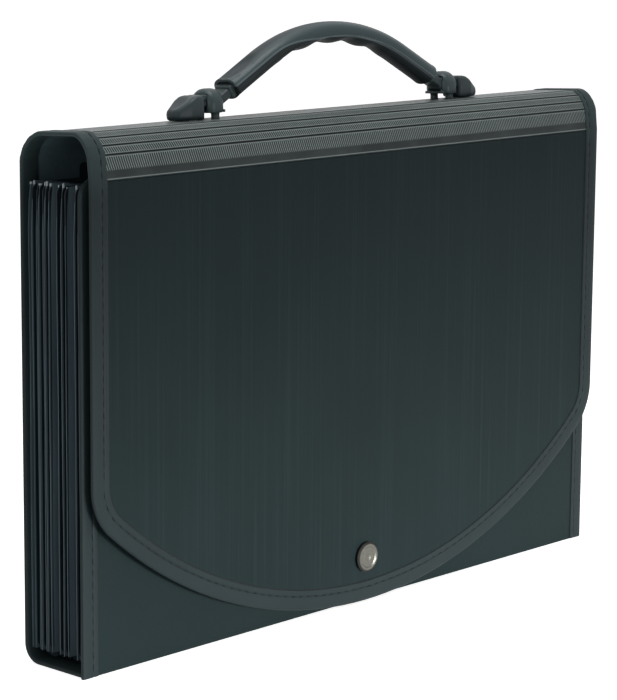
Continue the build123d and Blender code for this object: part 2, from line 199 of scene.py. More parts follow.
def connect(shader, wires):
    """Links wires to the shader's sockets of those names."""
    for socket, wire in wires.items():
        wire.tree.links.new(wire.socket, shader.inputs[socket])


def bump(height, depth):
    """A height from 0 to 1 as relief of a depth in metres."""
    return height.node("ShaderNodeBump", {}, {"Height": height, "Distance": depth, "Strength": 1.0})


def split(place):
    """The X, Y and Z of a place, as three wires."""
    return [place.node("ShaderNodeSeparateXYZ", {}, {0: place}, axis) for axis in range(3)]


print("shader maths ready")

# %% [markdown]
# ## Cover sheet
# The cover is dark polypropylene sheet, drawn through rollers that leave fine upright lines on the flap.
# Noise that is stretched a hundred times along the height gives such lines; the plain panels get it
# without a direction. Inside the arch, on the back panel's inner face and on the webs under the scores,
# the sheet gets paler shades as painted fill light, so that the arch over the pockets isn't black.

# %% Cover sheet
COVER_SHADES = (paint(20, 29, 30), paint(30, 41, 42))
# Paler shades for the sheet inside the arch: painted fill light.
INNER_FILL_LIGHT_SHADES = (paint(62, 78, 83), paint(80, 97, 102))
DRAWN = (1, 1, 0.01)
EVEN = (0.6, 0.6, 0.6)
FLAP_LINES = 0.28
PANEL_LINES = 0.08
BACK_INSIDE = 23.3 * MM


def cover_finish(name, grain_stretch, streaks, shades=COVER_SHADES, fill_light_from=None):
    """Dull sheet. With a y place given, all in front of it gets the paler inner shades, as painted fill
    light.
    """
    material, shader, place = new_finish(name, Specular_IOR_Level=0.04)
    cloud = place.noise(14, 3)
    grain = place.noise(900, 2, grain_stretch)
    lines = place.noise(560, 1, grain_stretch).ramp(0.5, 0.76)
    fine = place.noise(2600, 2)
    shade = cloud * 0.5 + grain * 0.4 + lines * streaks
    colour = shade.between(*shades)
    if fill_light_from:
        # In front of the back's inner face the colour takes the paler inner shades: painted fill light.
        outside = split(place)[1].ramp(fill_light_from - 0.1 * MM, fill_light_from + 0.1 * MM)
        colour = outside.between(shade.between(*INNER_FILL_LIGHT_SHADES), colour)
    connect(shader, {
        "Base Color": colour,
        "Roughness": 0.36 + grain * 0.12 + cloud * 0.06,
        "Normal": bump(grain * 0.4 + lines * 0.4 + fine * 0.2, 0.09 * MM),
    })
    return material


flap_sheet_finish = cover_finish("flap_sheet", DRAWN, FLAP_LINES)
plain_sheet_finish = cover_finish("plain_sheet", EVEN, PANEL_LINES)
# The webs under the scores take the paler inner shades all over: painted fill light.
inner_fill_light_finish = cover_finish("inner_sheet", EVEN, PANEL_LINES, INNER_FILL_LIGHT_SHADES)
back_sheet_finish = cover_finish("back_sheet", EVEN, PANEL_LINES, fill_light_from=BACK_INSIDE)
print("cover finishes made")

# %% [markdown]
# ## Pressed strips
# Between the flap and the back the sheet is scored into narrow strips, and a hot plate presses rows of
# slanted pips into them. At each score a thin lip stands beside a crease: the lip's pale colour is a
# painted highlight, the crease's dark colour is painted shade, and the pips' pale colour is a painted
# highlight as well. The shoulder's lower band stays smooth and bulges. The pips are a sine along the
# width whose phase climbs with the strip, so the finish needs to know where the scores lie: their places
# are listed first.

# %% Fold lines
# Y and Z of each score in millimetres, from the flap's crease over the crest to the back's top, and the
# directions of the strips before, between and after them, in degrees.
FOLDS = [(-20.75, 225.0), (-19.60, 235.94), (-17.93, 239.36), (-15.49, 242.27), (-12.27, 244.28),
         (12.32, 242.99), (16.96, 240.63), (20.50, 236.83), (22.45, 232.01)]
HEADINGS = [90, 84, 64, 50, 32, -3, -27, -47, -68, -90]
fold_lines = [Vector((0, y * MM, z * MM)) for y, z in FOLDS]


def heading_of(degrees):
    """A direction in the section's plane: 0 is to the back, 90 is up."""
    return Vector((0, math.cos(math.radians(degrees)), math.sin(math.radians(degrees))))


print("folds", len(fold_lines))

# %% Pressed strips
PIP_PITCH = 1.35 * MM
SHEET_LEVEL = 1.7 * MM
STRIP_CLIMB = 0.866
SMOOTH_BAND = 4.2 * MM
STRIP_LEAN = 0.5
PIP_SLANT = 0.35
# The pale end of these shades is a painted highlight on the pips and lips; the crease colour is painted
# shade.
STRIP_SHINE_PAINTED_SHADES = (paint(14, 20, 22), paint(154, 167, 165))
CREASE_PAINTED_SHADE = paint(12, 16, 17)


def strip_finish(name, lean, folds):
    """Slanted pips on every strip but the shoulder's lower band and a pressed lip beside each fold, both
    with a painted highlight, and painted shade in each crease.
    """
    material, shader, place = new_finish(name, Specular_IOR_Level=0.1)
    x, y, z = split(place)
    # Measured along this slant, the place grows from score to score all over this side of the arch.
    across = y * lean + z * STRIP_CLIMB
    creases = []
    for index in folds:
        outward = heading_of((HEADINGS[index] + HEADINGS[index + 1]) / 2 + 90)
        outer = fold_lines[index] + outward * SHEET_LEVEL
        creases.append(lean * outer.y + STRIP_CLIMB * outer.z)
    nearest = across.maths("ABSOLUTE", across - creases[0])
    for crease in creases[1:]:
        nearest = nearest.maths("MINIMUM", nearest, across.maths("ABSOLUTE", across - crease))
    top_of_sheet = nearest.ramp(0.1 * MM, 0.7 * MM)
    # The lips beside the scores get a painted highlight.
    lip_highlights = top_of_sheet * (1 - nearest.ramp(0.6 * MM, 1.1 * MM))
    low, high = sorted(creases)[:2]
    share = (across - low) * (1 / (high - low))
    share = share.maths("MINIMUM", share.maths("MAXIMUM", share, 0.0), 1.0)
    bulge = share * (1 - share) * 4
    textured = across.ramp(low + SMOOTH_BAND - 0.4 * MM, low + SMOOTH_BAND + 0.4 * MM)
    pips = (x + across * PIP_SLANT).wave(PIP_PITCH).ramp(0.1, 0.9)
    pips = pips * textured * nearest.ramp(0.6 * MM, 1.0 * MM)
    wear = place.noise(60, 3)
    # Pips and lips are lifted towards the pale shade as painted highlight.
    painted_light = (pips * 0.62 + lip_highlights * 0.5 + wear * 0.12).between(*STRIP_SHINE_PAINTED_SHADES)
    connect(shader, {
        # The creases get painted shade.
        "Base Color": top_of_sheet.between(CREASE_PAINTED_SHADE, painted_light),
        "Roughness": 0.36 - pips * 0.1 + wear * 0.08,
        "Normal": bump(top_of_sheet * 0.3 + pips * 0.2 + bulge * 0.5, 1.0 * MM),
    })
    return material


front_strip_finish = strip_finish("pressed_strips_front", STRIP_LEAN, range(0, 6))
rear_strip_finish = strip_finish("pressed_strips_rear", -STRIP_LEAN, range(5, 9))
print("strip finishes made")

# %% [markdown]
# ## Tape and thread
# The edges are bound with a dull woven tape of about the cover's own shade, sewn through with a darker
# twisted thread. Over the arch at the top the tape gets a paler colour, painted light from above: a soft
# step in height mixes that shade in. Both get a fine grain as relief, since the weave is too small to
# model.

# %% Tape and thread
TAPE_SHADES = (paint(21, 29, 31), paint(34, 44, 45))
# A paler tape colour over the arch: painted light from above.
TAPE_TOP_PAINTED_LIGHT = paint(50, 62, 63)
PAINTED_LIGHT_FROM = 214 * MM
PAINTED_LIGHT_FULL = 240 * MM
THREAD_SHADES = (paint(10, 13, 14), paint(30, 36, 38))

tape_finish, shader, place = new_finish("binding_tape", Specular_IOR_Level=0.1)
weave = place.noise(1500, 2, (1, 1, 0.7))
patch = place.noise(26, 3)
# Over the arch a soft step in height mixes in painted light from above.
painted_light = split(place)[2].ramp(PAINTED_LIGHT_FROM, PAINTED_LIGHT_FULL)
shade = (patch * 0.6 + weave * 0.4).between(*TAPE_SHADES)
connect(shader, {
    "Base Color": (painted_light * 0.8).between(shade, TAPE_TOP_PAINTED_LIGHT),
    "Roughness": 0.46 + weave * 0.14,
    "Normal": bump(weave, 0.07 * MM),
})

thread_finish, shader, place = new_finish("thread", Specular_IOR_Level=0.12)
twist = place.noise(3800, 2, (1, 1, 0.4))
connect(shader, {
    "Base Color": twist.ramp(0.45, 0.7).between(*THREAD_SHADES),
    "Roughness": 0.45 + twist * 0.2,
    "Normal": bump(twist, 0.1 * MM),
})
print("tape and thread finishes made")

# %% [markdown]
# ## Pocket sheet
# Pleats and dividers are a thin, shiny, faintly blue sheet, cut with a blade. The pleats are painted
# paler, as painted fill light between the folds, and the dividers darker, as painted shade inside the
# case. Where the cut top edge turns round the outer fold, a near-white painted highlight makes pale tips
# at the case's ends, so that colour comes in only near the top and only far out along the width.

# %% Pocket sheet
POCKET_TOP = 221.5 * MM
TAB_HEIGHT = 7.0 * MM
FOLD_REACH = 177.3 * MM
# The pleats' paler shades are painted fill light between the folds.
PLEAT_FILL_LIGHT_SHADES = (paint(51, 64, 71), paint(88, 103, 111))
# The dividers' darker shades are painted shade inside the case.
DIVIDER_PAINTED_SHADE_TONES = (paint(20, 28, 32), paint(30, 40, 45))
# A near-white painted highlight for the cut edge.
PAINTED_CUT_HIGHLIGHT = paint(190, 198, 200)


def pocket_finish(name, top, shades):
    """Thin shiny sheet, with a painted highlight where its cut edge at the height top turns round the
    outer fold.
    """
    material, shader, place = new_finish(name, Specular_IOR_Level=0.16)
    x, _, z = split(place)
    drawn = place.noise(260, 2, (1, 1, 0.05))
    far_out = x.maths("ABSOLUTE", x).ramp(FOLD_REACH, FOLD_REACH + 0.5 * MM)
    # Near the top and far out at the ends the cut edge gets a painted highlight.
    edge = z.ramp(top - 1.2 * MM, top - 0.6 * MM) * far_out
    connect(shader, {
        "Base Color": (edge * 0.9).between(drawn.between(*shades), PAINTED_CUT_HIGHLIGHT),
        "Roughness": 0.24 + drawn * 0.16,
        "Normal": bump(drawn, 0.05 * MM),
    })
    return material


pleat_finish = pocket_finish("pocket_pleats", POCKET_TOP, PLEAT_FILL_LIGHT_SHADES)
divider_finish = pocket_finish("pocket_dividers", POCKET_TOP + TAB_HEIGHT, DIVIDER_PAINTED_SHADE_TONES)
print("pocket finishes made")

# %% [markdown]
# ## Moulded plastics
# Strap, arrowheads and keepers come out of steel moulds that were spark-eroded, which leaves a fine,
# satin grain. The keepers are the same plastic, with a lower roughness and a paler colour that is a
# painted highlight. One function makes both: slow noise for the flow of the plastic, fine noise for the
# grain.

# %% Moulded plastics
PEBBLE = 0.07 * MM


def moulded_finish(name, shades, roughness):
    """Moulded plastic with a spark-eroded grain."""
    material, shader, place = new_finish(name, Specular_IOR_Level=0.18)
    grain = place.noise(1400, 3)
    flow = place.noise(40, 2)
    connect(shader, {
        "Base Color": (flow * 0.7 + grain * 0.3).between(*shades),
        "Roughness": roughness + grain * 0.12,
        "Normal": bump(grain, PEBBLE),
    })
    return material


strap_finish = moulded_finish("strap_plastic", (paint(38, 48, 50), paint(54, 65, 66)), 0.32)
# The keepers' paler colour is a painted highlight on the same plastic as the strap.
keeper_highlight_finish = moulded_finish("keeper_highlighted_plastic", (paint(46, 57, 59), paint(62, 74, 75)), 0.24)
print("strap and keeper finishes made")

# %% [markdown]
# ## The grip's finish
# Above its parting line the grip gets a lighter colour, painted light from above, and below it a darker,
# duller one, painted shade, where the mould's other half left its own grain; a thin pale line where the
# two meet is a painted highlight. The line follows the handle's arc and its two straight arms, so the
# finish works out each point's height over the section's middle. On the left arm the painted line and
# the painted shade below it climb towards the sleeve's end, and the grip's back gets painted shade and
# is duller.

# %% The handle's sizes and the grip's finish
SEAT_PLACE = Vector((0, 4.02, 245.13)) * MM
SEAT_TILT = math.radians(-3)
ARC_CENTRE = Vector((0, 0, -67.6 * MM))
ARC_RADIUS = 104.3 * MM
ARM_SLOPE = math.radians(27.74)
SLEEVE_LENGTH = 25.4 * MM
GRIP_WIDTH = 16.0 * MM
GRIP_WALL_HEIGHT = 11.4 * MM
PARTING_STEP = 0.8 * MM
PARTING_LEVEL = -0.3
PARTING_BEAD = 0.45 * MM
LEFT_LINE_RISE = 3.8 * MM
LEFT_ARM_RUN = (8 * MM, 42 * MM)
# The lighter end of these shades is painted light above the parting line, the darker end painted shade.
GRIP_PAINTED_LIGHT_SHADES = (paint(15, 20, 22), paint(52, 66, 69))
# The pale line is a painted highlight on the parting bead.
GRIP_PAINTED_HIGHLIGHT_LINE = paint(92, 103, 106)

grip_finish, shader, place = new_finish("handle_plastic", Specular_IOR_Level=0.18)
x, y, z = split(place)
side = x.maths("ABSOLUTE", x)
back = y - SEAT_PLACE.y
rise = back * math.sin(-SEAT_TILT) + (z - SEAT_PLACE.z) * math.cos(SEAT_TILT) - ARC_CENTRE.z
round_arc = rise.maths("SQRT", side * side + rise * rise)
along_arm = side * math.sin(ARM_SLOPE) + rise * math.cos(ARM_SLOPE)
on_arm = side.maths("GREATER_THAN", side, rise * math.tan(ARM_SLOPE))
parting_radius = ARC_RADIUS + PARTING_LEVEL * GRIP_WALL_HEIGHT / 2
high = round_arc + on_arm * (along_arm - round_arc) - parting_radius
# On the left arm the painted line and the painted shade below it climb towards the sleeve's end.
high = high - (x * -1).ramp(*LEFT_ARM_RUN) * LEFT_LINE_RISE
above = high.ramp(-0.35 * MM, -0.05 * MM)
line = above * (1 - high.ramp(0.45 * MM, 0.8 * MM))
# The grip's back gets painted shade and a duller surface.
back_shade_and_dullness = back.ramp(-3.6 * MM, 0.4 * MM)
grain = place.noise(1400, 3)
flow = place.noise(40, 2)
# Painted light above the line, painted shade below it and on the back.
shade = (above * 0.85 - back_shade_and_dullness * 0.55 + flow * 0.15 + grain * 0.1).between(*GRIP_PAINTED_LIGHT_SHADES)
connect(shader, {
    # The pale line is a painted highlight.
    "Base Color": (line * 0.7).between(shade, GRIP_PAINTED_HIGHLIGHT_LINE),
    "Roughness": 0.52 - above * 0.24 + back_shade_and_dullness * 0.16 + grain * 0.1,
    "Normal": bump(grain, 0.05 * MM),
})
print("grip finish made")

# %% [markdown]
# ## Snap metal
# The snap's cap is stamped from plated steel: a shallow dish inside a rolled rim. All of it is round, so
# the finish works with the distance from the cap's middle: faint spun rings, a dish as relief, and
# beyond the rim a dark colour, painted shade for the rolled rim's dark look from the front.

# %% Snap metal
SNAP_HEIGHT = 24.1 * MM
METAL_SHADES = (paint(78, 78, 73), paint(117, 116, 108))
# Beyond the rim the colour is painted shade.
METAL_RIM_PAINTED_SHADE = paint(28, 30, 30)
RIM = (6.2 * MM, 6.9 * MM)
DISH = (0.5 * MM, 2.4 * MM)
RING_PITCH = 0.7 * MM

metal_finish, shader, place = new_finish("snap_metal", Metallic=1.0)
x, _, z = split(place)
drop = z - SNAP_HEIGHT
reach = (x * x + drop * drop).maths("SQRT", x * x + drop * drop)
brushed = place.noise(900, 3)
spun = reach.wave(RING_PITCH) * 0.5 + 0.5
dish = reach.ramp(*DISH)
face = (brushed * 0.6 + spun * 0.2).between(*METAL_SHADES)
connect(shader, {
    # Painted shade on the rolled rim.
    "Base Color": (reach.ramp(*RIM) * 0.8).between(face, METAL_RIM_PAINTED_SHADE),
    "Roughness": 0.32 + brushed * 0.12,
    "Normal": bump(brushed * 0.02 + spun * 0.02 + dish * 0.3, 1.0 * MM),
})
print("metal finish made")

# %% [markdown]
# ## Finishes on the measured pieces
# The panels, strips and fittings keep their measured shapes. Each gets its finish by name, in its own
# material slot, and nothing about their meshes changes.

# %% Dress the frame
def dress(piece, material):
    """Gives a piece one finish, in its only slot."""
    piece.data.materials.clear()
    piece.data.materials.append(material)


finish_by_start = [
    ("flap_panel", flap_sheet_finish), ("back_panel", back_sheet_finish),
    ("front_strip", front_strip_finish), ("crest_strip", front_strip_finish),
    ("rear_strip", rear_strip_finish), ("divider", divider_finish), ("gusset", divider_finish),
    ("pocket_floor", divider_finish), ("snap", metal_finish), ("grip", grip_finish),
    ("keeper", keeper_highlight_finish), ("strap", strap_finish), ("arrowhead", strap_finish),
]
for name, piece in nodes.items():
    matches = [finish for start, finish in finish_by_start if name.startswith(start)]
    if name.endswith("_tape"):
        matches = [tape_finish]
    dress(piece, matches[0] if matches else plain_sheet_finish)
print("dressed", len(nodes), "pieces")

# %% [markdown]
# ## Modelling helpers
# Every new piece starts as a primitive or as one vertex that is extruded from point to point, the way an
# outline is drawn by hand. A section drawn like this is then extruded along straight runs and spun round
# bends, so one section makes a whole run of tape. With nothing left selected from the step before, each
# operator works only on what was picked for it.

# %% Helpers for picking and cutting
SAME_PLACE = 0.001 * MM


def select_only(*pieces):
    """Leaves editing and selects these pieces alone; the first of them becomes the active one."""
    if bpy.context.mode != "OBJECT":
        bpy.ops.object.mode_set(mode="OBJECT")
    bpy.ops.object.select_all(action="DESELECT")
    for piece in pieces:
        piece.select_set(True)
    if pieces:
        bpy.context.view_layer.objects.active = pieces[0]


def edit(piece):
    """Opens one piece for editing with nothing picked."""
    select_only(piece)
    bpy.ops.object.mode_set(mode="EDIT")
    bpy.ops.mesh.select_all(action="DESELECT")


def pick(piece, test):
    """Picks the vertices whose place passes a test, and nothing else."""
    bpy.ops.mesh.select_mode(type="VERT")
    bpy.ops.mesh.select_all(action="DESELECT")
    mesh = bmesh.from_edit_mesh(piece.data)
    for vertex in mesh.verts:
        vertex.select_set(test(vertex.co))
    mesh.select_flush_mode()
    bmesh.update_edit_mesh(piece.data)


def pick_edges(piece, test):
    """Picks the edges whose middle and direction pass a test."""
    bpy.ops.mesh.select_mode(type="EDGE")
    bpy.ops.mesh.select_all(action="DESELECT")
    mesh = bmesh.from_edit_mesh(piece.data)
    for edge in mesh.edges:
        first, last = edge.verts[0].co, edge.verts[1].co
        edge.select_set(test((first + last) / 2, (last - first).normalized()))
    bmesh.update_edit_mesh(piece.data)


def cut(place, normal):
    """Cuts the whole mesh that is open for editing along a plane."""
    bpy.ops.mesh.select_all(action="SELECT")
    bpy.ops.mesh.bisect(plane_co=place, plane_no=normal)


def apply_modifier(piece, name, kind, **settings):
    """Adds a modifier with its settings and applies it at once."""
    select_only(piece)
    added = piece.modifiers.new(name, kind)
    for setting, value in settings.items():
        setattr(added, setting, value)
    bpy.ops.object.modifier_apply(modifier=added.name)


def settle(name):
    """Names the new primitive and puts its place, turn and size into its mesh."""
    piece = bpy.context.object
    piece.name = name
    bpy.ops.object.transform_apply(location=True, rotation=True, scale=True)
    return piece


def smooth(piece, degrees, material):
    """Leaves editing, shades smooth over edges flatter than an angle and gives the finish."""
    select_only(piece)
    bpy.ops.object.shade_smooth_by_angle(angle=math.radians(degrees))
    dress(piece, material)
    return piece


print("helpers for picking and cutting ready")


# %% Helpers for drawing and sweeping
def push(step):
    """Extrudes what is picked by a step."""
    bpy.ops.mesh.extrude_region_move(TRANSFORM_OT_translate={"value": step})


def swing(angle, centre, axis, steps):
    """Spins what is picked by the right-hand rule, the other way round from Spin's own angle."""
    bpy.ops.mesh.spin(steps=steps, angle=-angle, center=centre, axis=axis)


def draw_outline(name, points):
    """Draws a closed outline from one vertex, extruded from point to point, and leaves it picked."""
    select_only()
    bpy.ops.mesh.primitive_plane_add(size=MM, location=points[0])
    piece = settle(name)
    bpy.ops.object.mode_set(mode="EDIT")
    bpy.ops.mesh.select_mode(type="VERT")
    bpy.ops.mesh.select_all(action="SELECT")
    bpy.ops.mesh.merge(type="CENTER")
    for before, after in zip(points, points[1:]):
        push(Vector(after) - Vector(before))
    first, last = Vector(points[0]), Vector(points[-1])
    pick(piece, lambda co: (co - first).length < SAME_PLACE or (co - last).length < SAME_PLACE)
    bpy.ops.mesh.edge_face_add()
    bpy.ops.mesh.select_mode(type="EDGE")
    bpy.ops.mesh.select_all(action="SELECT")
    return piece


def close_up(piece, material, degrees=50, merge=0.004 * MM):
    """Merges doubles, fills the open ends, points the faces outwards and gives the finish."""
    bpy.ops.mesh.select_all(action="SELECT")
    bpy.ops.mesh.remove_doubles(threshold=merge)
    bpy.ops.mesh.fill_holes(sides=0)
    bpy.ops.mesh.select_all(action="SELECT")
    bpy.ops.mesh.normals_make_consistent(inside=False)
    return smooth(piece, degrees, material)


def join(pieces, name):
    """Joins pieces into one object."""
    select_only(*pieces)
    bpy.ops.object.join()
    pieces[0].name = name
    return pieces[0]


def mirrored(piece):
    """A copy of a piece across the middle of the width, with its own mesh."""
    twin = piece.copy()
    twin.data = piece.data.copy()
    bpy.context.scene.collection.objects.link(twin)
    twin.data.transform(Matrix.Scale(-1, 4, (1, 0, 0)))
    edit(twin)
    bpy.ops.mesh.select_all(action="SELECT")
    bpy.ops.mesh.normals_make_consistent(inside=False)
    bpy.ops.object.mode_set(mode="OBJECT")
    return twin


def tell(*pieces):
    """Prints what was made: names, sizes in millimetres and faces."""
    for piece in pieces:
        measures = [round(value / MM, 1) for value in piece.dimensions]
        print(piece.name, measures, "with", len(piece.data.polygons), "faces")


print("helpers for drawing and sweeping ready")

# %% [markdown]
# ## Sewn tape
# The binding is a flat tape folded round the sheet's edge and sewn through. Its face is slightly domed,
# with a groove where the thread pulls it down, and a soft fold at the edge. One section is drawn, and is
# swept along each run: straight by extruding, round the corners by spinning about the corner's centre.
# A fine dark cord runs in the same way along the tape's inner edge, where it meets the sheet: a painted
# shadow of the tape's step, in the thread's finish.

# %% The tape's section
RIGHT = Vector((1, 0, 0))
FRONT = Vector((0, -1, 0))
COVER_HALF = 183.0 * MM
COVER_WALL = 2.2 * MM
TAPE_WIDTH = 10.0 * MM
# The dark cord along the tape's inner edge is a painted shadow.
SHADOW_CORD_WIDTH = 0.5 * MM
SHADOW_CORD_LEVELS = (0.74 * COVER_WALL, 0.81 * COVER_WALL)
# Each point is a share of the tape's width and a share of the cover's wall.
TAPE_SECTION = [
    (1.000, 0.773), (0.985, 0.955), (0.950, 1.000), (0.800, 1.000), (0.750, 0.970), (0.720, 0.890),
    (0.690, 0.860), (0.660, 0.890), (0.630, 0.970), (0.580, 1.000), (0.350, 1.015), (0.120, 0.990),
    (0.050, 0.900), (0.012, 0.740), (0.000, 0.500), (0.012, 0.260), (0.050, 0.100), (0.120, 0.010),
    (0.350, -0.010), (0.950, 0.000), (0.985, 0.045), (1.000, 0.227), (0.055, 0.227), (0.055, 0.773),
]


def tape_ring(width, place, inward, outward):
    """The tape's section at a place on the edge's inner line."""
    return [place + inward * (u * width) + outward * (w * COVER_WALL) for u, w in TAPE_SECTION]


def shadow_cord_ring(width, place, inward, outward):
    """The section of the fine dark cord, a painted shadow where the tape's inner edge meets the sheet.
    """
    low, high = SHADOW_CORD_LEVELS
    corners = [(0.0, low), (SHADOW_CORD_WIDTH, low), (SHADOW_CORD_WIDTH, high), (0.0, high)]
    return [place + inward * (width + u) + outward * level for u, level in corners]


print("section of", len(TAPE_SECTION), "points")

# %% [markdown]
# ## Tape round the flap
# The flap's edge runs straight down, round a tight corner, along one wide sweep at its foot and up
# again. A curve with a bevel profile could carry the tape, but corner and sweep are both arcs that meet
# without a kink, so spinning the section about their centres gives clean rings. The corner's place
# follows from the two radii. The tape and its cord of painted shadow take the same way, so one function
# does both.

# %% Tape round the flap
FLAP_INNER, CREASE = (value * MM for value in FOLDS[0])
FLAP_SWEEP = 265.0 * MM
FLAP_CORNER = 30.0 * MM
FLAP_LOW = 1.5 * MM
FLAP_JOIN = 213.0 * MM

corner_x = COVER_HALF - FLAP_CORNER
sweep_z = FLAP_LOW + FLAP_SWEEP
corner_z = sweep_z - math.sqrt((FLAP_SWEEP - FLAP_CORNER) ** 2 - corner_x ** 2)
corner_turn = math.atan2(sweep_z - corner_z, corner_x)
sweep_turn = math.pi - 2 * corner_turn


def round_flap(name, ring, material):
    """Sweeps a section down one side of the flap, round its foot and up the other side."""
    start = Vector((-COVER_HALF, FLAP_INNER, FLAP_JOIN))
    piece = draw_outline(name, ring(TAPE_WIDTH, start, RIGHT, FRONT))
    push((0, 0, corner_z - FLAP_JOIN))
    swing(-corner_turn, (-corner_x, FLAP_INNER, corner_z), (0, 1, 0), 10)
    swing(-sweep_turn, (0, FLAP_INNER, sweep_z), (0, 1, 0), 48)
    swing(-corner_turn, (corner_x, FLAP_INNER, corner_z), (0, 1, 0), 10)
    push((0, 0, FLAP_JOIN - corner_z))
    close_up(piece, material)
    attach(piece, "flap")
    return piece


flap_binding = round_flap("flap_binding", tape_ring, tape_finish)
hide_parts("flap_tape")
# A dark cord along the flap tape's inner edge: painted shadow.
flap_shadow_cord = round_flap("flap_shadow_cord", shadow_cord_ring, thread_finish)
tell(flap_binding, flap_shadow_cord)

# %% [markdown]
# ## Tape round the front panel
# Here the tape goes up one side, over the top with a rounded corner at each end, and down the other
# side. It ends at the panel's foot, where the case stands. The dark cord of painted shadow shows only at
# the sides, since the flap covers it above, so one side of it is drawn and mirrored.

# %% Tape round the front panel
FRONT_HALF = 184.5 * MM
FRONT_TOP = 226.5 * MM
FRONT_FOOT = 0.3 * MM
FRONT_INNER = -15.15 * MM
FRONT_TAPE = 9.2 * MM

turn_x = FRONT_HALF - FRONT_TAPE
turn_z = FRONT_TOP - FRONT_TAPE
start = Vector((-FRONT_HALF, FRONT_INNER, FRONT_FOOT))
front_binding = draw_outline("front_binding", tape_ring(FRONT_TAPE, start, RIGHT, FRONT))
push((0, 0, turn_z - FRONT_FOOT))
swing(math.pi / 2, (-turn_x, FRONT_INNER, turn_z), (0, 1, 0), 8)
push((2 * turn_x, 0, 0))
swing(math.pi / 2, (turn_x, FRONT_INNER, turn_z), (0, 1, 0), 8)
push((0, 0, FRONT_FOOT - turn_z))
close_up(front_binding, tape_finish)
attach(front_binding, "front")
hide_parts("front_tape")
# A dark cord along the front tape's inner edge: painted shadow.
front_shadow_cord = draw_outline("front_shadow_cord", shadow_cord_ring(FRONT_TAPE, start, RIGHT, FRONT))
push((0, 0, turn_z - FRONT_FOOT))
close_up(front_shadow_cord, thread_finish)
front_shadow_cord = join([front_shadow_cord, mirrored(front_shadow_cord)], "front_shadow_cord")
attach(front_shadow_cord, "front")
tell(front_binding, front_shadow_cord)

# %% [markdown]
# ## Tape over the top
# Over the arch the tape follows the scores: a straight run on each strip, and a small bend at each fold.
# Three runs meet where the cover turns, and each reaches over one hinge. A thin web runs along under the
# scores in the same way, since the sheet isn't cut through.

# %% Tape over the top
BEND = 6.0 * MM
WEB_LEVELS = (0.18 * MM, 0.46 * MM)
WEB_OVERLAP = 1 * MM
WEB_ON_FLAP = 2 * MM
WEB_ON_CREST = 4 * MM
WEB_ON_BACK = 2.5 * MM
SHOULDER_MIDDLE = 5.5 * MM
BACK_JOIN = 10.0 * MM


def over_folds(name, ring, first, start, last, end):
    """Sweeps a section from a point before fold first to a point after fold last, bent at each fold."""
    heading = HEADINGS[first]
    begin = fold_lines[first] - heading_of(heading) * start
    piece = draw_outline(name, ring(begin, heading_of(heading + 90)))
    travelled = start
    for index in range(first, last + 1):
        half_turn = math.radians(HEADINGS[index] - HEADINGS[index + 1]) / 2
        cut_back = BEND * math.tan(half_turn)
        push(heading_of(HEADINGS[index]) * (travelled - cut_back))
        middle = HEADINGS[index] - math.degrees(half_turn)
        centre = fold_lines[index] - heading_of(middle + 90) * (BEND / math.cos(half_turn))
        swing(-2 * half_turn, centre, (1, 0, 0), 4)
        if index < last:
            travelled = (fold_lines[index + 1] - fold_lines[index]).length - cut_back
        else:
            push(heading_of(HEADINGS[index + 1]) * (end - cut_back))
    return piece


def run_tape(name, first, start, last, end):
    """Tape over some folds, on both sides of the case."""
    def ring(place, outward):
        return tape_ring(TAPE_WIDTH, place + RIGHT * COVER_HALF, -RIGHT, outward)

    piece = close_up(over_folds(name, ring, first, start, last, end), tape_finish)
    piece = join([piece, mirrored(piece)], name)
    return piece


def score_web(name, first, start, last, end):
    """The thin web left under each score: it holds the strips together and stops the light."""
    half = COVER_HALF - TAPE_WIDTH + WEB_OVERLAP
    low, high = WEB_LEVELS

    def ring(place, outward):
        corners = [(-half, low), (half, low), (half, high), (-half, high)]
        return [place + RIGHT * x + outward * level for x, level in corners]

    # The web gets the paler inner finish, painted fill light.
    piece = close_up(over_folds(name, ring, first, start, last, end), inner_fill_light_finish)
    return piece


def bend_at(index, before, after, *pieces):
    """Puts each piece's place and turn into its mesh. The fold's index and the two bodies are not used.
    """
    for piece in pieces:
        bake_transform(piece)


shoulder_rest = (fold_lines[1] - fold_lines[0]).length - SHOULDER_MIDDLE
crest_middle = (fold_lines[5] - fold_lines[4]).length / 2

shoulder_binding = run_tape("shoulder_binding", 0, CREASE - FLAP_JOIN, 0, SHOULDER_MIDDLE)
shoulder_web = score_web("shoulder_web", 0, WEB_ON_FLAP, 0, SHOULDER_MIDDLE)
bend_at(0, "flap", "shoulder", shoulder_binding, shoulder_web)
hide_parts("front_strip_1_tape")
crest_binding = run_tape("crest_binding", 1, shoulder_rest, 4, crest_middle)
crest_web = score_web("crest_web", 1, shoulder_rest, 4, WEB_ON_CREST)
bend_at(4, "shoulder", "crest", crest_binding, crest_web)
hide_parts("front_strip_2_tape", "front_strip_3_tape", "front_strip_4_tape",
            "crest_tape")
rear_binding = run_tape("rear_binding", 5, crest_middle, 8, BACK_JOIN)
rear_web = score_web("rear_web", 5, WEB_ON_BACK, 8, WEB_ON_BACK)
bend_at(8, "crest", "case", rear_binding, rear_web)
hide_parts("rear_strip_1_tape", "rear_strip_2_tape", "rear_strip_3_tape")
tell(shoulder_binding, crest_binding, rear_binding)

# %% [markdown]
# ## Tape down the back
# Behind, the tape runs on from the last strip straight down the back, round the bend at the foot and
# along the bottom. It is all on the case's own body, so nothing in it has to bend, and one piece can do
# the whole run. One side is drawn and mirrored.

# %% Tape down the back
BACK_LINE = FOLDS[-1][0] * MM
FOOT_RADIUS = 6.8 * MM
FOOT_CENTRE = 9.0 * MM
BOTTOM_END = -14.85 * MM

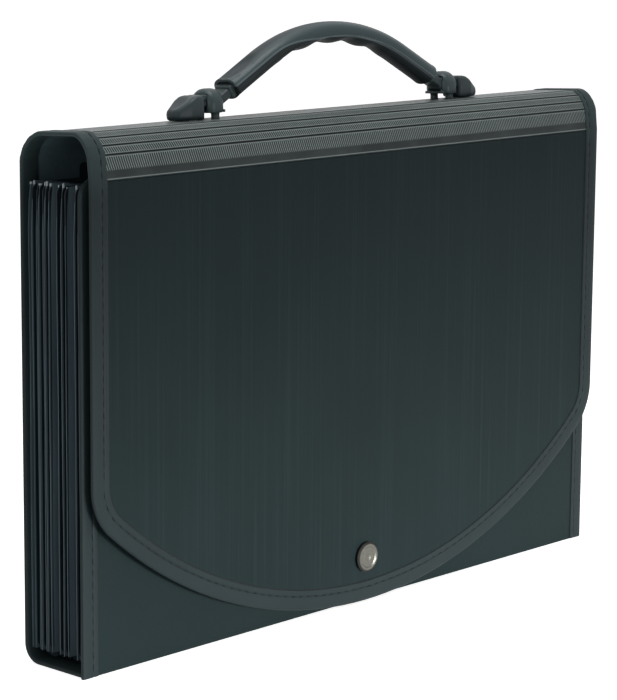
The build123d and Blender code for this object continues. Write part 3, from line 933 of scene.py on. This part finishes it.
start = Vector((COVER_HALF, BACK_LINE, FOLDS[-1][1] * MM - BACK_JOIN))
back_binding = draw_outline("back_binding", tape_ring(TAPE_WIDTH, start, -RIGHT, -FRONT))
push((0, 0, FOOT_CENTRE - start.z))
swing(-math.pi / 2, (0, BACK_LINE - FOOT_RADIUS, FOOT_CENTRE), (1, 0, 0), 8)
push((0, BOTTOM_END - BACK_LINE + FOOT_RADIUS, 0))
close_up(back_binding, tape_finish)
back_binding = join([back_binding, mirrored(back_binding)], "back_binding")
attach(back_binding, "case")
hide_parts("back_tape", "bottom_tape")
tell(back_binding)

# %% [markdown]
# ## Pocket dividers
# Twelve thin sheets with index tabs, stamped out flat. A plane is cut where its tab begins and ends, the
# piece of its top edge between the cuts is pulled up, and corners are rounded before the sheet gets its
# wall, which is easier than rounding a thin solid. Near its ends a real sheet drifts with the pleat that
# holds it, so each is bowed there by an amount of its own.

# %% Dividers
DIVIDER_COUNT = 12
DIVIDER_HALF = 179.0 * MM
DIVIDER_FOOT = 6.6 * MM
DIVIDER_CORNER = 4.0 * MM
DIVIDER_WALL = 0.5 * MM
TAB_WIDTH = 44.0 * MM
TAB_CORNER = 2.5 * MM
TAB_MARGIN = 28.0 * MM
TAB_SPAN = 2 * (DIVIDER_HALF - TAB_MARGIN) - TAB_WIDTH
POCKET_BACK = 21.95 * MM
POCKET_PITCH = 2.831 * MM
DRIFT = [1.0, 0.8, 2.1, 2.5, 3.7, 4.1, 1.8, 1.2, 2.0, -1.8, -1.0, -0.7]
DRIFT_FROM = 120 * MM
DRIFT_CUTS = (0.0, 0.2, 0.4, 0.6, 0.8, 0.93)
divider_lines = [POCKET_BACK - POCKET_PITCH * (index + 1) for index in range(DIVIDER_COUNT)]


def soft_step(share):
    """0 below 0 and 1 above 1, with a soft step between."""
    share = min(1.0, max(0.0, share))
    return share * share * (3 - 2 * share)


def divider_sheet(index):
    """One divider with its tab, bowed at its ends towards its pleat's own place."""
    number = "%02d" % (index + 1)
    line = divider_lines[index]
    middle_z = (DIVIDER_FOOT + POCKET_TOP) / 2
    select_only()
    bpy.ops.mesh.primitive_plane_add(size=1, location=(0, line, middle_z), rotation=(math.pi / 2, 0, 0))
    bpy.context.object.scale = (2 * DIVIDER_HALF, POCKET_TOP - DIVIDER_FOOT, 1)
    piece = settle("divider_sheet_" + number)
    edit(piece)
    tab_x = -TAB_SPAN / 2 + TAB_SPAN * index / (DIVIDER_COUNT - 1)
    tab_left, tab_right = tab_x - TAB_WIDTH / 2, tab_x + TAB_WIDTH / 2
    for x in (tab_left, tab_right):
        cut((x, line, middle_z), RIGHT)
    pick(piece, lambda co: co.z > middle_z and tab_left - MM < co.x < tab_right + MM)
    bpy.ops.mesh.select_mode(type="EDGE")
    push((0, 0, TAB_HEIGHT))
    pick(piece, lambda co: co.z > POCKET_TOP + TAB_HEIGHT / 2)
    bpy.ops.mesh.bevel(offset=TAB_CORNER, segments=4, affect="VERTICES")
    pick(piece, lambda co: abs(abs(co.x) - DIVIDER_HALF) < MM)
    bpy.ops.mesh.bevel(offset=DIVIDER_CORNER, segments=4, affect="VERTICES")
    for side in (-1, 1):
        for share in DRIFT_CUTS:
            cut((side * (DRIFT_FROM + (DIVIDER_HALF - DRIFT_FROM) * share), line, middle_z), RIGHT)
    for vertex in bmesh.from_edit_mesh(piece.data).verts:
        share = (abs(vertex.co.x) - DRIFT_FROM) / (DIVIDER_HALF - DRIFT_FROM)
        vertex.co.y += DRIFT[index] * MM * soft_step(share)
    bmesh.update_edit_mesh(piece.data)
    apply_modifier(piece, "wall", "SOLIDIFY", thickness=DIVIDER_WALL, offset=0)
    smooth(piece, 30, divider_finish)
    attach(piece, "pocket_" + number)
    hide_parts("divider_" + number)
    return piece


dividers = [divider_sheet(index) for index in range(DIVIDER_COUNT)]
print("dividers", len(dividers), "tab span", round(TAB_SPAN / MM, 1))

# %% [markdown]
# ## Gusset pleats
# At each end the pockets are closed by a pleated strip: it folds outwards at every divider and inwards
# between them. Each pleat is its own piece. Its leaves are drawn in plan, bowed as creased sheet bows,
# and pulled up to full height.

# %% Pleats
GUSSET_OUTER = 180.0 * MM
PLEAT_DEPTH = 14.0 * MM
PLEAT_FRONT = -14.85 * MM
PLEAT_WALL = 0.35 * MM
PLEAT_LEVELS = [0, 0.08, 0.22, 0.4, 0.6, 0.78, 0.9, 0.96, 0.985, 1.0]
PLEAT_WANDER = 0.25 * MM
PLEAT_LEAN = 1.6 * MM
LEAF_SHARES = (0.0, 0.03, 0.1, 0.3, 0.5, 0.7, 0.9, 0.97)
LEAF_BOW = 0.105 * MM
FOLD_ROUND = 0.135 * MM
FOLD_ZONE = 0.3 * MM
chance = random.Random(7)
drifted = [line + drift * MM for line, drift in zip(divider_lines, DRIFT)]
fold_tips = [POCKET_BACK] + drifted + [PLEAT_FRONT]
tip_out = [0.0] + [chance.uniform(-0.9, 0.5) * MM for line in divider_lines] + [0.0]
tip_top = [chance.uniform(-0.6, 1.2) * MM for tip in fold_tips]


def pleat_plan(index):
    """The pleat's line in plan on the right-hand side, from its rear fold round to its front fold."""
    middle = (fold_tips[index] + fold_tips[index + 1]) / 2
    leaves = []
    for fold, side in ((index, 1), (index + 1, -1)):
        tip, out = fold_tips[fold], tip_out[fold]
        leaf = []
        for share in LEAF_SHARES:
            bow = LEAF_BOW * math.sin(math.pi * share)
            rounding = FOLD_ROUND * (1 - math.exp(-share * 30)) * (1 - share)
            leaf.append(Vector((GUSSET_OUTER + out - PLEAT_DEPTH * share,
                                tip + (middle - tip) * share + side * (bow + rounding), DIVIDER_FOOT)))
        leaves.append(leaf)
    inner = Vector((GUSSET_OUTER - PLEAT_DEPTH, middle, DIVIDER_FOOT))
    return leaves[0] + [inner] + leaves[1][::-1]


def pleat(index):
    """One pleat on both sides of the case, between two neighbouring bodies."""
    points = pleat_plan(index)
    piece = draw_outline("gusset_pleat_%02d" % (index + 1), points)
    closing = (points[0] + points[-1]) / 2
    pick_edges(piece, lambda mid, way: (mid - closing).length < SAME_PLACE)
    bpy.ops.mesh.delete(type="EDGE")
    bpy.ops.mesh.select_all(action="SELECT")
    height = POCKET_TOP - DIVIDER_FOOT
    for below, level in zip(PLEAT_LEVELS, PLEAT_LEVELS[1:]):
        push((0, 0, (level - below) * height))
    # The outer fold wanders a little on its way up and leans in near the top, and the leaves' cut edges
    # rise and sink from fold to fold, as each was cut and creased by itself.
    rear, front = fold_tips[index], fold_tips[index + 1]
    for vertex in bmesh.from_edit_mesh(piece.data).verts:
        share = (vertex.co.z - DIVIDER_FOOT) / height
        out_share = (vertex.co.x - GUSSET_OUTER + PLEAT_DEPTH) / PLEAT_DEPTH
        rear_share = (vertex.co.y - front) / (rear - front)
        wander = math.sin(share * 7 + index * 2.1) * PLEAT_WANDER
        vertex.co.x += out_share * (wander - PLEAT_LEAN * soft_step((share - 0.93) / 0.07))
        rise = tip_top[index] * rear_share + tip_top[index + 1] * (1 - rear_share)
        vertex.co.z += rise * soft_step((share - 0.9) / 0.1) * out_share
    bmesh.update_edit_mesh(piece.data)
    bpy.ops.mesh.select_all(action="SELECT")
    bpy.ops.mesh.normals_make_consistent(inside=False)
    apply_modifier(piece, "wall", "SOLIDIFY", thickness=PLEAT_WALL, offset=0)
    smooth(piece, 40, pleat_finish)
    piece = join([piece, mirrored(piece)], piece.name)
    return piece


pleats = []
for index in range(DIVIDER_COUNT + 1):
    piece = pleat(index)
    start = (0, fold_tips[index] - FOLD_ZONE, 0)
    end = (0, fold_tips[index + 1] + FOLD_ZONE, 0)
    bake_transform(piece)
    pleats.append(piece)
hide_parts("gusset_back")
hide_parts("gusset_front")
print("pleats", len(pleats), [round(tip / MM, 1) for tip in fold_tips])

# %% [markdown]
# ## Stitches
# The thread shows as short dashes in the groove. They could be painted on, but each one catches a spark
# of light and casts its own small shadow, so they are modelled: one stitch is a small cube, stretched,
# drawn in at both ends and rounded, with few faces, because there are hundreds of copies.

# %% One stitch
STITCH_LENGTH = 3.3 * MM
STITCH_WIDTH = 0.62 * MM
STITCH_RISE = 0.34 * MM


def block(name, low, high):
    """A cube primitive between two corners, with its place in its mesh."""
    low, high = Vector(low), Vector(high)
    select_only()
    bpy.ops.mesh.primitive_cube_add(size=1, location=(low + high) / 2)
    bpy.context.object.scale = high - low
    return settle(name)


half_stitch = Vector((STITCH_LENGTH, STITCH_WIDTH, STITCH_RISE)) / 2
stitch = block("stitch", -half_stitch, half_stitch)
edit(stitch)
cut((0, 0, 0), RIGHT)
pick(stitch, lambda co: abs(co.x) > STITCH_LENGTH / 4)
bpy.ops.transform.resize(value=(1, 0.45, 0.5))
bpy.ops.mesh.select_all(action="SELECT")
bpy.ops.mesh.bevel(offset=0.12 * MM, segments=1, affect="EDGES")
smooth(stitch, 60, thread_finish)
tell(stitch)

# %% [markdown]
# ## Rows of stitches
# Each row lies at the same share of its tape's width, just above the groove's bottom, and belongs to the
# body that its tape is on. The copies could come from an Array modifier along a curve, but a list of
# places with their directions is plainer, and it follows the corners' arcs exactly. On the narrow strips
# one stitch lies in the middle of each, since a needle can't go through a score.

# %% Helpers for sewing
STITCH_PITCH = 5.5 * MM


def sew(name, body, line):
    """Copies of the stitch along a line of (place, direction, outward) and onto a body."""
    copies = []
    for place, along, outward in line:
        across = outward.cross(along)
        seat = Matrix((along, across, outward)).transposed().to_4x4()
        seat.translation = place
        copy = stitch.copy()
        copy.data = stitch.data.copy()
        copy.data.transform(seat)
        bpy.context.scene.collection.objects.link(copy)
        copies.append(copy)
    thread = join(copies, name)
    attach(thread, body)
    print(name, len(line), "stitches")


def along_line(first, last, outward):
    """Stitches along a straight line, a whole number of pitches."""
    first, last = Vector(first), Vector(last)
    count = max(1, int((last - first).length / STITCH_PITCH))
    way = (last - first).normalized()
    return [(first + way * STITCH_PITCH * (index + 0.5), way, outward) for index in range(count)]


def along_arc(centre, radius, begin, finish, outward):
    """Stitches round an arc of the X-Z plane, between two angles counted from +X to +Z."""
    count = max(1, int(abs(finish - begin) * radius / STITCH_PITCH))
    line = []
    for index in range(count):
        angle = begin + (finish - begin) * (index + 0.5) / count
        spoke = Vector((math.cos(angle), 0, math.sin(angle)))
        direction = Vector((-math.sin(angle), 0, math.cos(angle)))
        line.append((Vector(centre) + spoke * radius, direction, outward))
    return line


print("helpers for sewing ready")

# %% Stitches on each part of the case
STITCH_SHARE = 0.69
STITCH_LEVEL = 0.93 * COVER_WALL
THREAD_MARGIN = 2 * MM
BACK_THREAD_TOP = 231 * MM

y = FLAP_INNER - STITCH_LEVEL
from_edge = STITCH_SHARE * TAPE_WIDTH
inset = COVER_HALF - from_edge
foot_from = math.pi + corner_turn
foot_to = 2 * math.pi - corner_turn
line = along_line((-inset, y, CREASE - THREAD_MARGIN), (-inset, y, corner_z), FRONT)
line += along_arc((-corner_x, y, corner_z), FLAP_CORNER - from_edge, math.pi, foot_from, FRONT)
line += along_arc((0, y, sweep_z), FLAP_SWEEP - from_edge, foot_from, foot_to, FRONT)
line += along_arc((corner_x, y, corner_z), FLAP_CORNER - from_edge, foot_to, 2 * math.pi, FRONT)
line += along_line((inset, y, corner_z), (inset, y, CREASE - THREAD_MARGIN), FRONT)
sew("flap_thread", "flap", line)

y = FRONT_INNER - STITCH_LEVEL
inset_front = FRONT_HALF - STITCH_SHARE * FRONT_TAPE
top = FRONT_TOP - STITCH_SHARE * FRONT_TAPE
line = []
for x in (-inset_front, inset_front):
    line += along_line((x, y, THREAD_MARGIN), (x, y, top - THREAD_MARGIN), FRONT)
line += along_line((-inset_front + THREAD_MARGIN, y, top), (inset_front - THREAD_MARGIN, y, top), FRONT)
sew("front_thread", "front", line)

y = BACK_LINE + STITCH_LEVEL
line = []
for x in (-inset, inset):
    line += along_line((x, y, FOOT_CENTRE), (x, y, BACK_THREAD_TOP), -FRONT)
sew("back_thread", "case", line)

crest_line, shoulder_line = [], []
for x in (-inset, inset):
    for index in range(len(fold_lines) - 1):
        outward = heading_of(HEADINGS[index + 1] + 90)
        lift = outward * STITCH_LEVEL + RIGHT * x
        first, last = fold_lines[index] + lift, fold_lines[index + 1] + lift
        stitches = [((first + last) / 2, (last - first).normalized(), outward)]
        if index in (0, 4):
            stitches = along_line(first, last, outward)
        (shoulder_line if index < 4 else crest_line).extend(stitches)
sew("crest_thread", "crest", crest_line)
sew("shoulder_thread", "shoulder", shoulder_line)
bpy.data.objects.remove(stitch)

# %% [markdown]
# ## Handle
# The handle is drawn on its own seat, upright and centred, and the finished meshes are then tipped with
# the crest. The grip is a soft moulded sleeve: an oval section with a parting step, spun round the
# handle's arc and pushed on down each arm. Underneath, the fingers' hollows are pressed in, and on top a
# thumb hollow near each end. Each half is one skin.

# %% The handle's seat and the grip
FINGER_PITCH = 21.6 * MM
FINGER_DEPTH = 1.3 * MM
THUMB_FROM_END = 11 * MM
THUMB_HALF = 14 * MM
THUMB_HALF_WIDTH = 5.6 * MM
THUMB_DEPTH = 1.3 * MM
FLARE_LENGTH = 3 * MM
FLARE_RISE = 0.25 * MM
LIP_LENGTH = 0.4 * MM
MOUTH_DEPTH = 5 * MM
FLEX_ZONE = 6 * MM
ARM_STEPS = 20
seat = Matrix.Translation(SEAT_PLACE) @ Matrix.Rotation(SEAT_TILT, 4, "X")
arm_way = Vector((math.cos(ARM_SLOPE), 0, -math.sin(ARM_SLOPE)))
arm_out = Vector((math.sin(ARM_SLOPE), 0, math.cos(ARM_SLOPE)))
arc_length = ARM_SLOPE * ARC_RADIUS
arm_start = ARC_CENTRE + arm_out * ARC_RADIUS
mouth = arm_start + arm_way * SLEEVE_LENGTH


def pair(name, right_piece):
    """The right-hand piece and its mirror image, named for their sides and tipped with the seat."""
    both = ((right_piece, "right"), (mirrored(right_piece), "left"))
    for piece, side in both:
        piece.name = name + "_" + side
        piece.data.transform(seat)
        tell(piece)
    return both


def grip_ring(count):
    """The grip's section: an oval whose lower part, below the parting step, is a little narrower."""
    step = math.asin(PARTING_LEVEL)
    turns = []
    for index in range(count):
        turn = 2 * math.pi * index / count
        turns.append((turn, PARTING_STEP if math.sin(turn) < PARTING_LEVEL else 0))
    for offset, inset in ((0.12, -PARTING_BEAD), (0.02, -PARTING_BEAD), (-0.03, PARTING_STEP)):
        turns += [(step + offset, inset), (math.pi - step - offset, inset)]
    ring = []
    for turn, inset in sorted((turn % (2 * math.pi), inset) for turn, inset in turns):
        y, z = math.cos(turn), math.sin(turn)
        square = 2.3 if z > PARTING_LEVEL - 0.01 else 2.0
        full = (abs(y) ** square + abs(z) ** square) ** (-1 / square)
        ring.append(Vector((0, y * full * (GRIP_WIDTH / 2 - inset),
                            ARC_CENTRE.z + ARC_RADIUS + z * full * (GRIP_WALL_HEIGHT / 2 - inset))))
    return ring


def along_grip(co):
    """How far round the grip a point lies from the top, how high in its section, and the way out."""
    spoke = Vector((co.x, 0, co.z - ARC_CENTRE.z))
    angle = math.atan2(spoke.x, spoke.z)
    if angle <= ARM_SLOPE:
        along, from_centre, way_out = angle * ARC_RADIUS, spoke.length, spoke.normalized()
    else:
        along, from_centre, way_out = arc_length + spoke.dot(arm_way), spoke.dot(arm_out), arm_out
    return along, (from_centre - ARC_RADIUS) / (GRIP_WALL_HEIGHT / 2), way_out


def grip_half():
    """The right-hand half of the grip, from the middle to the end of its arm."""
    piece = draw_outline("grip_right", grip_ring(36))
    swing(ARM_SLOPE, ARC_CENTRE, (0, 1, 0), 40)
    for index in range(ARM_STEPS):
        push(arm_way * (SLEEVE_LENGTH / ARM_STEPS))
    bpy.ops.mesh.edge_face_add()
    for step, share in ((LIP_LENGTH, 0.94), (0, 0.84), (-MOUTH_DEPTH, 1)):
        push(arm_way * step)
        bpy.ops.transform.resize(value=(share,) * 3, center_override=mouth + arm_way * LIP_LENGTH)
    # Fingers press hollows in from below, a thumb presses one in on top, and the sleeve's end flares.
    whole = arc_length + SLEEVE_LENGTH
    for vertex in bmesh.from_edit_mesh(piece.data).verts:
        along, high, way_out = along_grip(vertex.co)
        fingers = 0.5 - 0.5 * math.cos(2 * math.pi * min(along, 2 * FINGER_PITCH) / FINGER_PITCH)
        under = soft_step(-high * 1.3)
        spoon = math.hypot((along - whole + THUMB_FROM_END) / THUMB_HALF, vertex.co.y / THUMB_HALF_WIDTH)
        thumb = soft_step((1 - spoon) * 2.2) * soft_step(high * 1.4)
        flare = soft_step(1 - (whole - along) / FLARE_LENGTH) * FLARE_RISE * high
        vertex.co += way_out * (fingers * under * FINGER_DEPTH - thumb * THUMB_DEPTH + flare)
    bmesh.update_edit_mesh(piece.data)
    return close_up(piece, grip_finish, 30, merge=0.002 * MM)


for piece, side in pair("grip", grip_half()):
    flip = Vector((1 if side == "right" else -1, 1, 1))
    start = seat @ ((arm_start - arm_way * FLEX_ZONE) * flip)
    end = seat @ ((arm_start + arm_way * FLEX_ZONE) * flip)
    "arm_" + side
    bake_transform(piece)
    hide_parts("grip_middle", "grip_arm_" + side)

# %% [markdown]
# ## Keepers
# A keeper is a round-topped loop moulded with two posts. It starts as a cube of its size: the two top
# edges are bevelled until they meet in a round, the ends are softened, and a slot is cut through for the
# strap with a Boolean modifier that is applied. A lip at its foot and the posts, which flare where they
# meet the loop, are joined to it. The right-hand keeper is modelled and then mirrored.

# %% Rounded blocks and rods
def round_edges(piece, test, offset, segments):
    """Bevels the edges whose middle and direction pass a test."""
    pick_edges(piece, test)
    bpy.ops.mesh.bevel(offset=offset, segments=segments, affect="EDGES")


def rounded_block(name, low, high, test, offset, segments=3):
    """A block with those edges rounded that pass a test."""
    piece = block(name, low, high)
    edit(piece)
    round_edges(piece, test, offset, segments)
    select_only(piece)
    return piece


def rod(name, centre, radius, length, sides, turn=(0, 0, 0)):
    """A cylinder primitive, with its place in its mesh."""
    select_only()
    bpy.ops.mesh.primitive_cylinder_add(vertices=sides, radius=radius, depth=length,
                                        location=centre, rotation=turn)
    return settle(name)


print("helpers for blocks and rods ready")

# %% Keepers
KEEPER_X = 84.7 * MM
KEEPER_LENGTH = 10.5 * MM
KEEPER_WIDTH = 15.0 * MM
KEEPER_LIFT = 3.0 * MM
KEEPER_HEIGHT = 14.3 * MM
KEEPER_ROUND = 7.2 * MM
KEEPER_SOFT = 3.7 * MM
STRAP_WIDTH = 9.0 * MM
STRAP_WALL = 4.6 * MM
SLOT_BOTTOM = 4.4 * MM
SLOT_HEIGHT = 7.5 * MM
SLOT_PLAY = 0.3 * MM
LIP_HALF = 6.0 * MM
LIP_TOP = 4.3 * MM
POST_RADIUS = 2.0 * MM
POST_SPREAD = 5.0 * MM
POST_FOOT = -2.4 * MM


def keeper():
    """The right-hand keeper: a loop with its slot, a lip at its foot and two flared posts."""
    x0, x1 = KEEPER_X - KEEPER_LENGTH / 2, KEEPER_X + KEEPER_LENGTH / 2
    half, slot_half = KEEPER_WIDTH / 2, STRAP_WIDTH / 2 + SLOT_PLAY
    foot = KEEPER_LIFT + 0.1 * MM
    loop = block("keeper_loop", (x0, -half, KEEPER_LIFT), (x1, half, KEEPER_HEIGHT))
    edit(loop)
    round_edges(loop, lambda mid, way: mid.z > KEEPER_HEIGHT - MM and abs(way.x) > 0.9, KEEPER_ROUND, 10)
    round_edges(loop, lambda mid, way: mid.z > foot and abs(way.x) < 0.5, KEEPER_SOFT, 5)
    round_edges(loop, lambda mid, way: mid.z < foot, 0.5 * MM, 2)
    cutter = rounded_block("slot_cutter", (x0 - 3 * MM, -slot_half, SLOT_BOTTOM),
                           (x1 + 3 * MM, slot_half, SLOT_BOTTOM + SLOT_HEIGHT),
                           lambda mid, way: abs(way.x) > 0.9, 1.2 * MM)
    apply_modifier(loop, "slot", "BOOLEAN", object=cutter, operation="DIFFERENCE", solver="EXACT")
    bpy.data.objects.remove(cutter)
    lip = rounded_block("lip", (x0 - 0.9 * MM, -LIP_HALF, KEEPER_LIFT + 0.02 * MM),
                        (x0 + 0.3 * MM, LIP_HALF, LIP_TOP),
                        lambda mid, way: mid.x < x0 - 0.7 * MM, 0.45 * MM)
    posts = []
    for y in (-POST_SPREAD, POST_SPREAD):
        top = KEEPER_LIFT + 0.4 * MM
        post = rod("post", (KEEPER_X, y, (top + POST_FOOT) / 2), POST_RADIUS, top - POST_FOOT, 28)
        edit(post)
        for level in (1.6, 2.5):
            cut((0, 0, level * MM), (0, 0, 1))
        pick(post, lambda co: co.z > 2.9 * MM)
        bpy.ops.transform.resize(value=(1.35, 1.25, 1), center_override=(KEEPER_X, y, 0))
        bpy.ops.object.mode_set(mode="OBJECT")
        posts.append(post)
    return smooth(join([loop, lip] + posts, "keeper_loop"), 40, keeper_highlight_finish)


for piece, side in pair("keeper_loop", keeper()):
    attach(piece, "crest")
    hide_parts("keeper_" + side)

# %% [markdown]
# ## Arrowheads
# Each strap ends in a barb, shaped like a smooth pebble with a hollow on its slope, which keeps it from
# being pulled back through the keeper. A cube is cut twice and drawn in and down towards its tip, and
# its edges are rounded. Then it is cut into a fine grid, so that the hollow can be pressed into the
# slope. The neck, the rib on it and the knuckle where the strap folds are blocks and a rod, joined on.

# %% Arrowheads
STRAP_LEVEL = 8.15 * MM
NECK_START = 81.0 * MM
ARROW_X = 91.95 * MM
ARROW_LENGTH = 16.8 * MM
ARROW_WIDTH = 13.0 * MM
ARROW_HEIGHT = 11.2 * MM
ARROW_LIFT = 0.3 * MM
ARROW_FLAT = 5.4 * MM
ARROW_SHOULDER = 8.5 * MM
TIP_WIDTH_SHARE = 0.56
TIP_HEIGHT = 4.6 * MM
HOLLOW = 1.0 * MM
ARROW_ROUND = 2.1 * MM
KNUCKLE_RADIUS = 3.3 * MM
RIB_START = 83.5 * MM
RIB_TOP = 11.6 * MM
NECK_OVERLAP = 1.5 * MM


def arrowhead():
    """The right-hand strap end: barb, neck, the rib on it and the knuckle where the strap folds."""
    half = ARROW_WIDTH / 2
    tip_x = ARROW_X + ARROW_LENGTH
    body = block("strap_barb", (ARROW_X, -half, ARROW_LIFT), (tip_x, half, ARROW_LIFT + ARROW_HEIGHT))
    edit(body)
    for step in (ARROW_FLAT, ARROW_SHOULDER):
        cut((ARROW_X + step, 0, 0), RIGHT)
    pick(body, lambda co: co.x > tip_x - MM)
    bpy.ops.transform.resize(value=(1, TIP_WIDTH_SHARE, 1), center_override=(tip_x, 0, 0))
    rise = ARROW_HEIGHT - TIP_HEIGHT
    run = ARROW_LENGTH - ARROW_FLAT
    for x, share in ((tip_x, 1.0), (ARROW_X + ARROW_SHOULDER, (ARROW_SHOULDER - ARROW_FLAT) / run)):
        pick(body, lambda co: abs(co.x - x) < 0.1 * MM and co.z > ARROW_HEIGHT - MM)
        bpy.ops.transform.translate(value=(0, 0, -rise * share))
    apply_modifier(body, "round_edges", "BEVEL", width=ARROW_ROUND, segments=5, limit_method="ANGLE",
                   angle_limit=math.radians(20))
    edit(body)
    for index in range(1, 12):
        cut((ARROW_X + ARROW_LENGTH * index / 12, 0, 0), RIGHT)
    for index in range(-4, 5):
        cut((0, index * half / 5, 0), (0, 1, 0))
    middle_x = ARROW_X + ARROW_FLAT + run * 0.42
    for vertex in bmesh.from_edit_mesh(body.data).verts:
        along = (vertex.co.x - middle_x) / (run * 0.62)
        across = vertex.co.y / (half * 0.72)
        share = soft_step(1.25 - 1.25 * math.hypot(along, across))
        if vertex.co.z > ARROW_LIFT + TIP_HEIGHT * 0.8:
            vertex.co.z -= HOLLOW * share
    bmesh.update_edit_mesh(body.data)
    strap_half, behind = STRAP_WIDTH / 2, ARROW_X + NECK_OVERLAP
    neck = rounded_block("neck", (NECK_START, -strap_half, STRAP_LEVEL - STRAP_WALL / 2),
                         (behind, strap_half, STRAP_LEVEL + STRAP_WALL / 2),
                         lambda mid, way: abs(way.x) > 0.9 or mid.x < NECK_START + MM, 1.0 * MM)
    rib = rounded_block("rib", (RIB_START, -strap_half, STRAP_LEVEL), (behind, strap_half, RIB_TOP),
                        lambda mid, way: mid.z > RIB_TOP - 0.1 * MM, 0.8 * MM)
    knuckle = rod("knuckle", (NECK_START, 0, STRAP_LEVEL - 0.2 * MM), KNUCKLE_RADIUS, STRAP_WIDTH, 32,
                  (math.pi / 2, 0, 0))
    edit(knuckle)
    round_edges(knuckle, lambda mid, way: abs(abs(mid.y) - strap_half) < 0.1 * MM, 0.9 * MM, 3)
    bpy.ops.object.mode_set(mode="OBJECT")
    return smooth(join([body, neck, rib, knuckle], "strap_barb"), 50, strap_finish)


for piece, side in pair("strap_barb", arrowhead()):
    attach(piece, "strap_end_" + side)
    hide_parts("arrowhead_" + side)

# %% [markdown]
# ## Strap plugs
# Where the strap leaves the sleeve it is moulded thicker, so that it fills the sleeve's mouth. A cube of
# the plug's size is rounded, turned to the arm's slope and moved to the mouth, once for each side.

# %% Strap plugs
PLUG_INSIDE = 4.0 * MM
PLUG_OUTSIDE = 3.2 * MM
PLUG_WIDTH = 10.4 * MM
PLUG_WALL = 6.6 * MM

plug = rounded_block("strap_plug", (-PLUG_INSIDE, -PLUG_WIDTH / 2, -PLUG_WALL / 2),
                     (PLUG_OUTSIDE, PLUG_WIDTH / 2, PLUG_WALL / 2),
                     lambda mid, way: mid.x > -PLUG_INSIDE + 0.1 * MM, 1.3 * MM, 4)
plug.data.transform(Matrix.Translation(mouth) @ Matrix.Rotation(ARM_SLOPE, 4, "Y"))
smooth(plug, 40, strap_finish)
for piece, side in pair("strap_plug", plug):
    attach(piece, "arm_" + side)

# %% [markdown]
# ## Floor and world
# The floor is a wide plane that keeps the soft shadow under the case. It and the world show white to the
# camera, in reflections and through glass, so that the background is clean; any other ray meets a plain
# pale floor and a world at about a quarter of its strength.

# %% Floor and world
WORLD_LIGHT = 0.28
FLOOR_GLOW = 0.8
FLOOR_TONES = ((0.86, 0.86, 0.86, 1), (0.9, 0.9, 0.9, 1))
BLACK = (0, 0, 0, 1)
WHITE = (1, 1, 1, 1)


def shown_white(tree):
    """1 for the rays that find a white background, 0 for any other."""
    rays = tree.nodes.new("ShaderNodeLightPath")
    found = Wire(tree, rays.outputs["Is Camera Ray"])
    for kind in ("Is Glossy Ray", "Is Transmission Ray"):
        found = found.maths("MAXIMUM", found, Wire(tree, rays.outputs[kind]))
    return found


select_only()
bpy.ops.mesh.primitive_plane_add(size=12, location=(0, 0, 0))
floor = bpy.context.object
floor.name = "floor"
floor_finish, shader, place = new_finish("pale_floor", Roughness=0.9, Specular_IOR_Level=0.1,
                                         Emission_Strength=1.0)
connect(shader, {
    "Base Color": place.noise(2, 2).between(*FLOOR_TONES),
    "Emission Color": shown_white(floor_finish.node_tree).between(BLACK, (FLOOR_GLOW,) * 3 + (1,)),
})
dress(floor, floor_finish)

world = bpy.data.worlds.new("studio")
bpy.context.scene.world = world
world.use_nodes = True
background = world.node_tree.nodes["Background"]
background.inputs["Color"].default_value = WHITE
strength = shown_white(world.node_tree) * (1 - WORLD_LIGHT) + WORLD_LIGHT
world.node_tree.links.new(strength.socket, background.inputs["Strength"])
print("floor and world set")

# %% [markdown]
# ## Last update
# The view layer is brought up to date once more.

# %% Last update
bpy.context.view_layer.update()
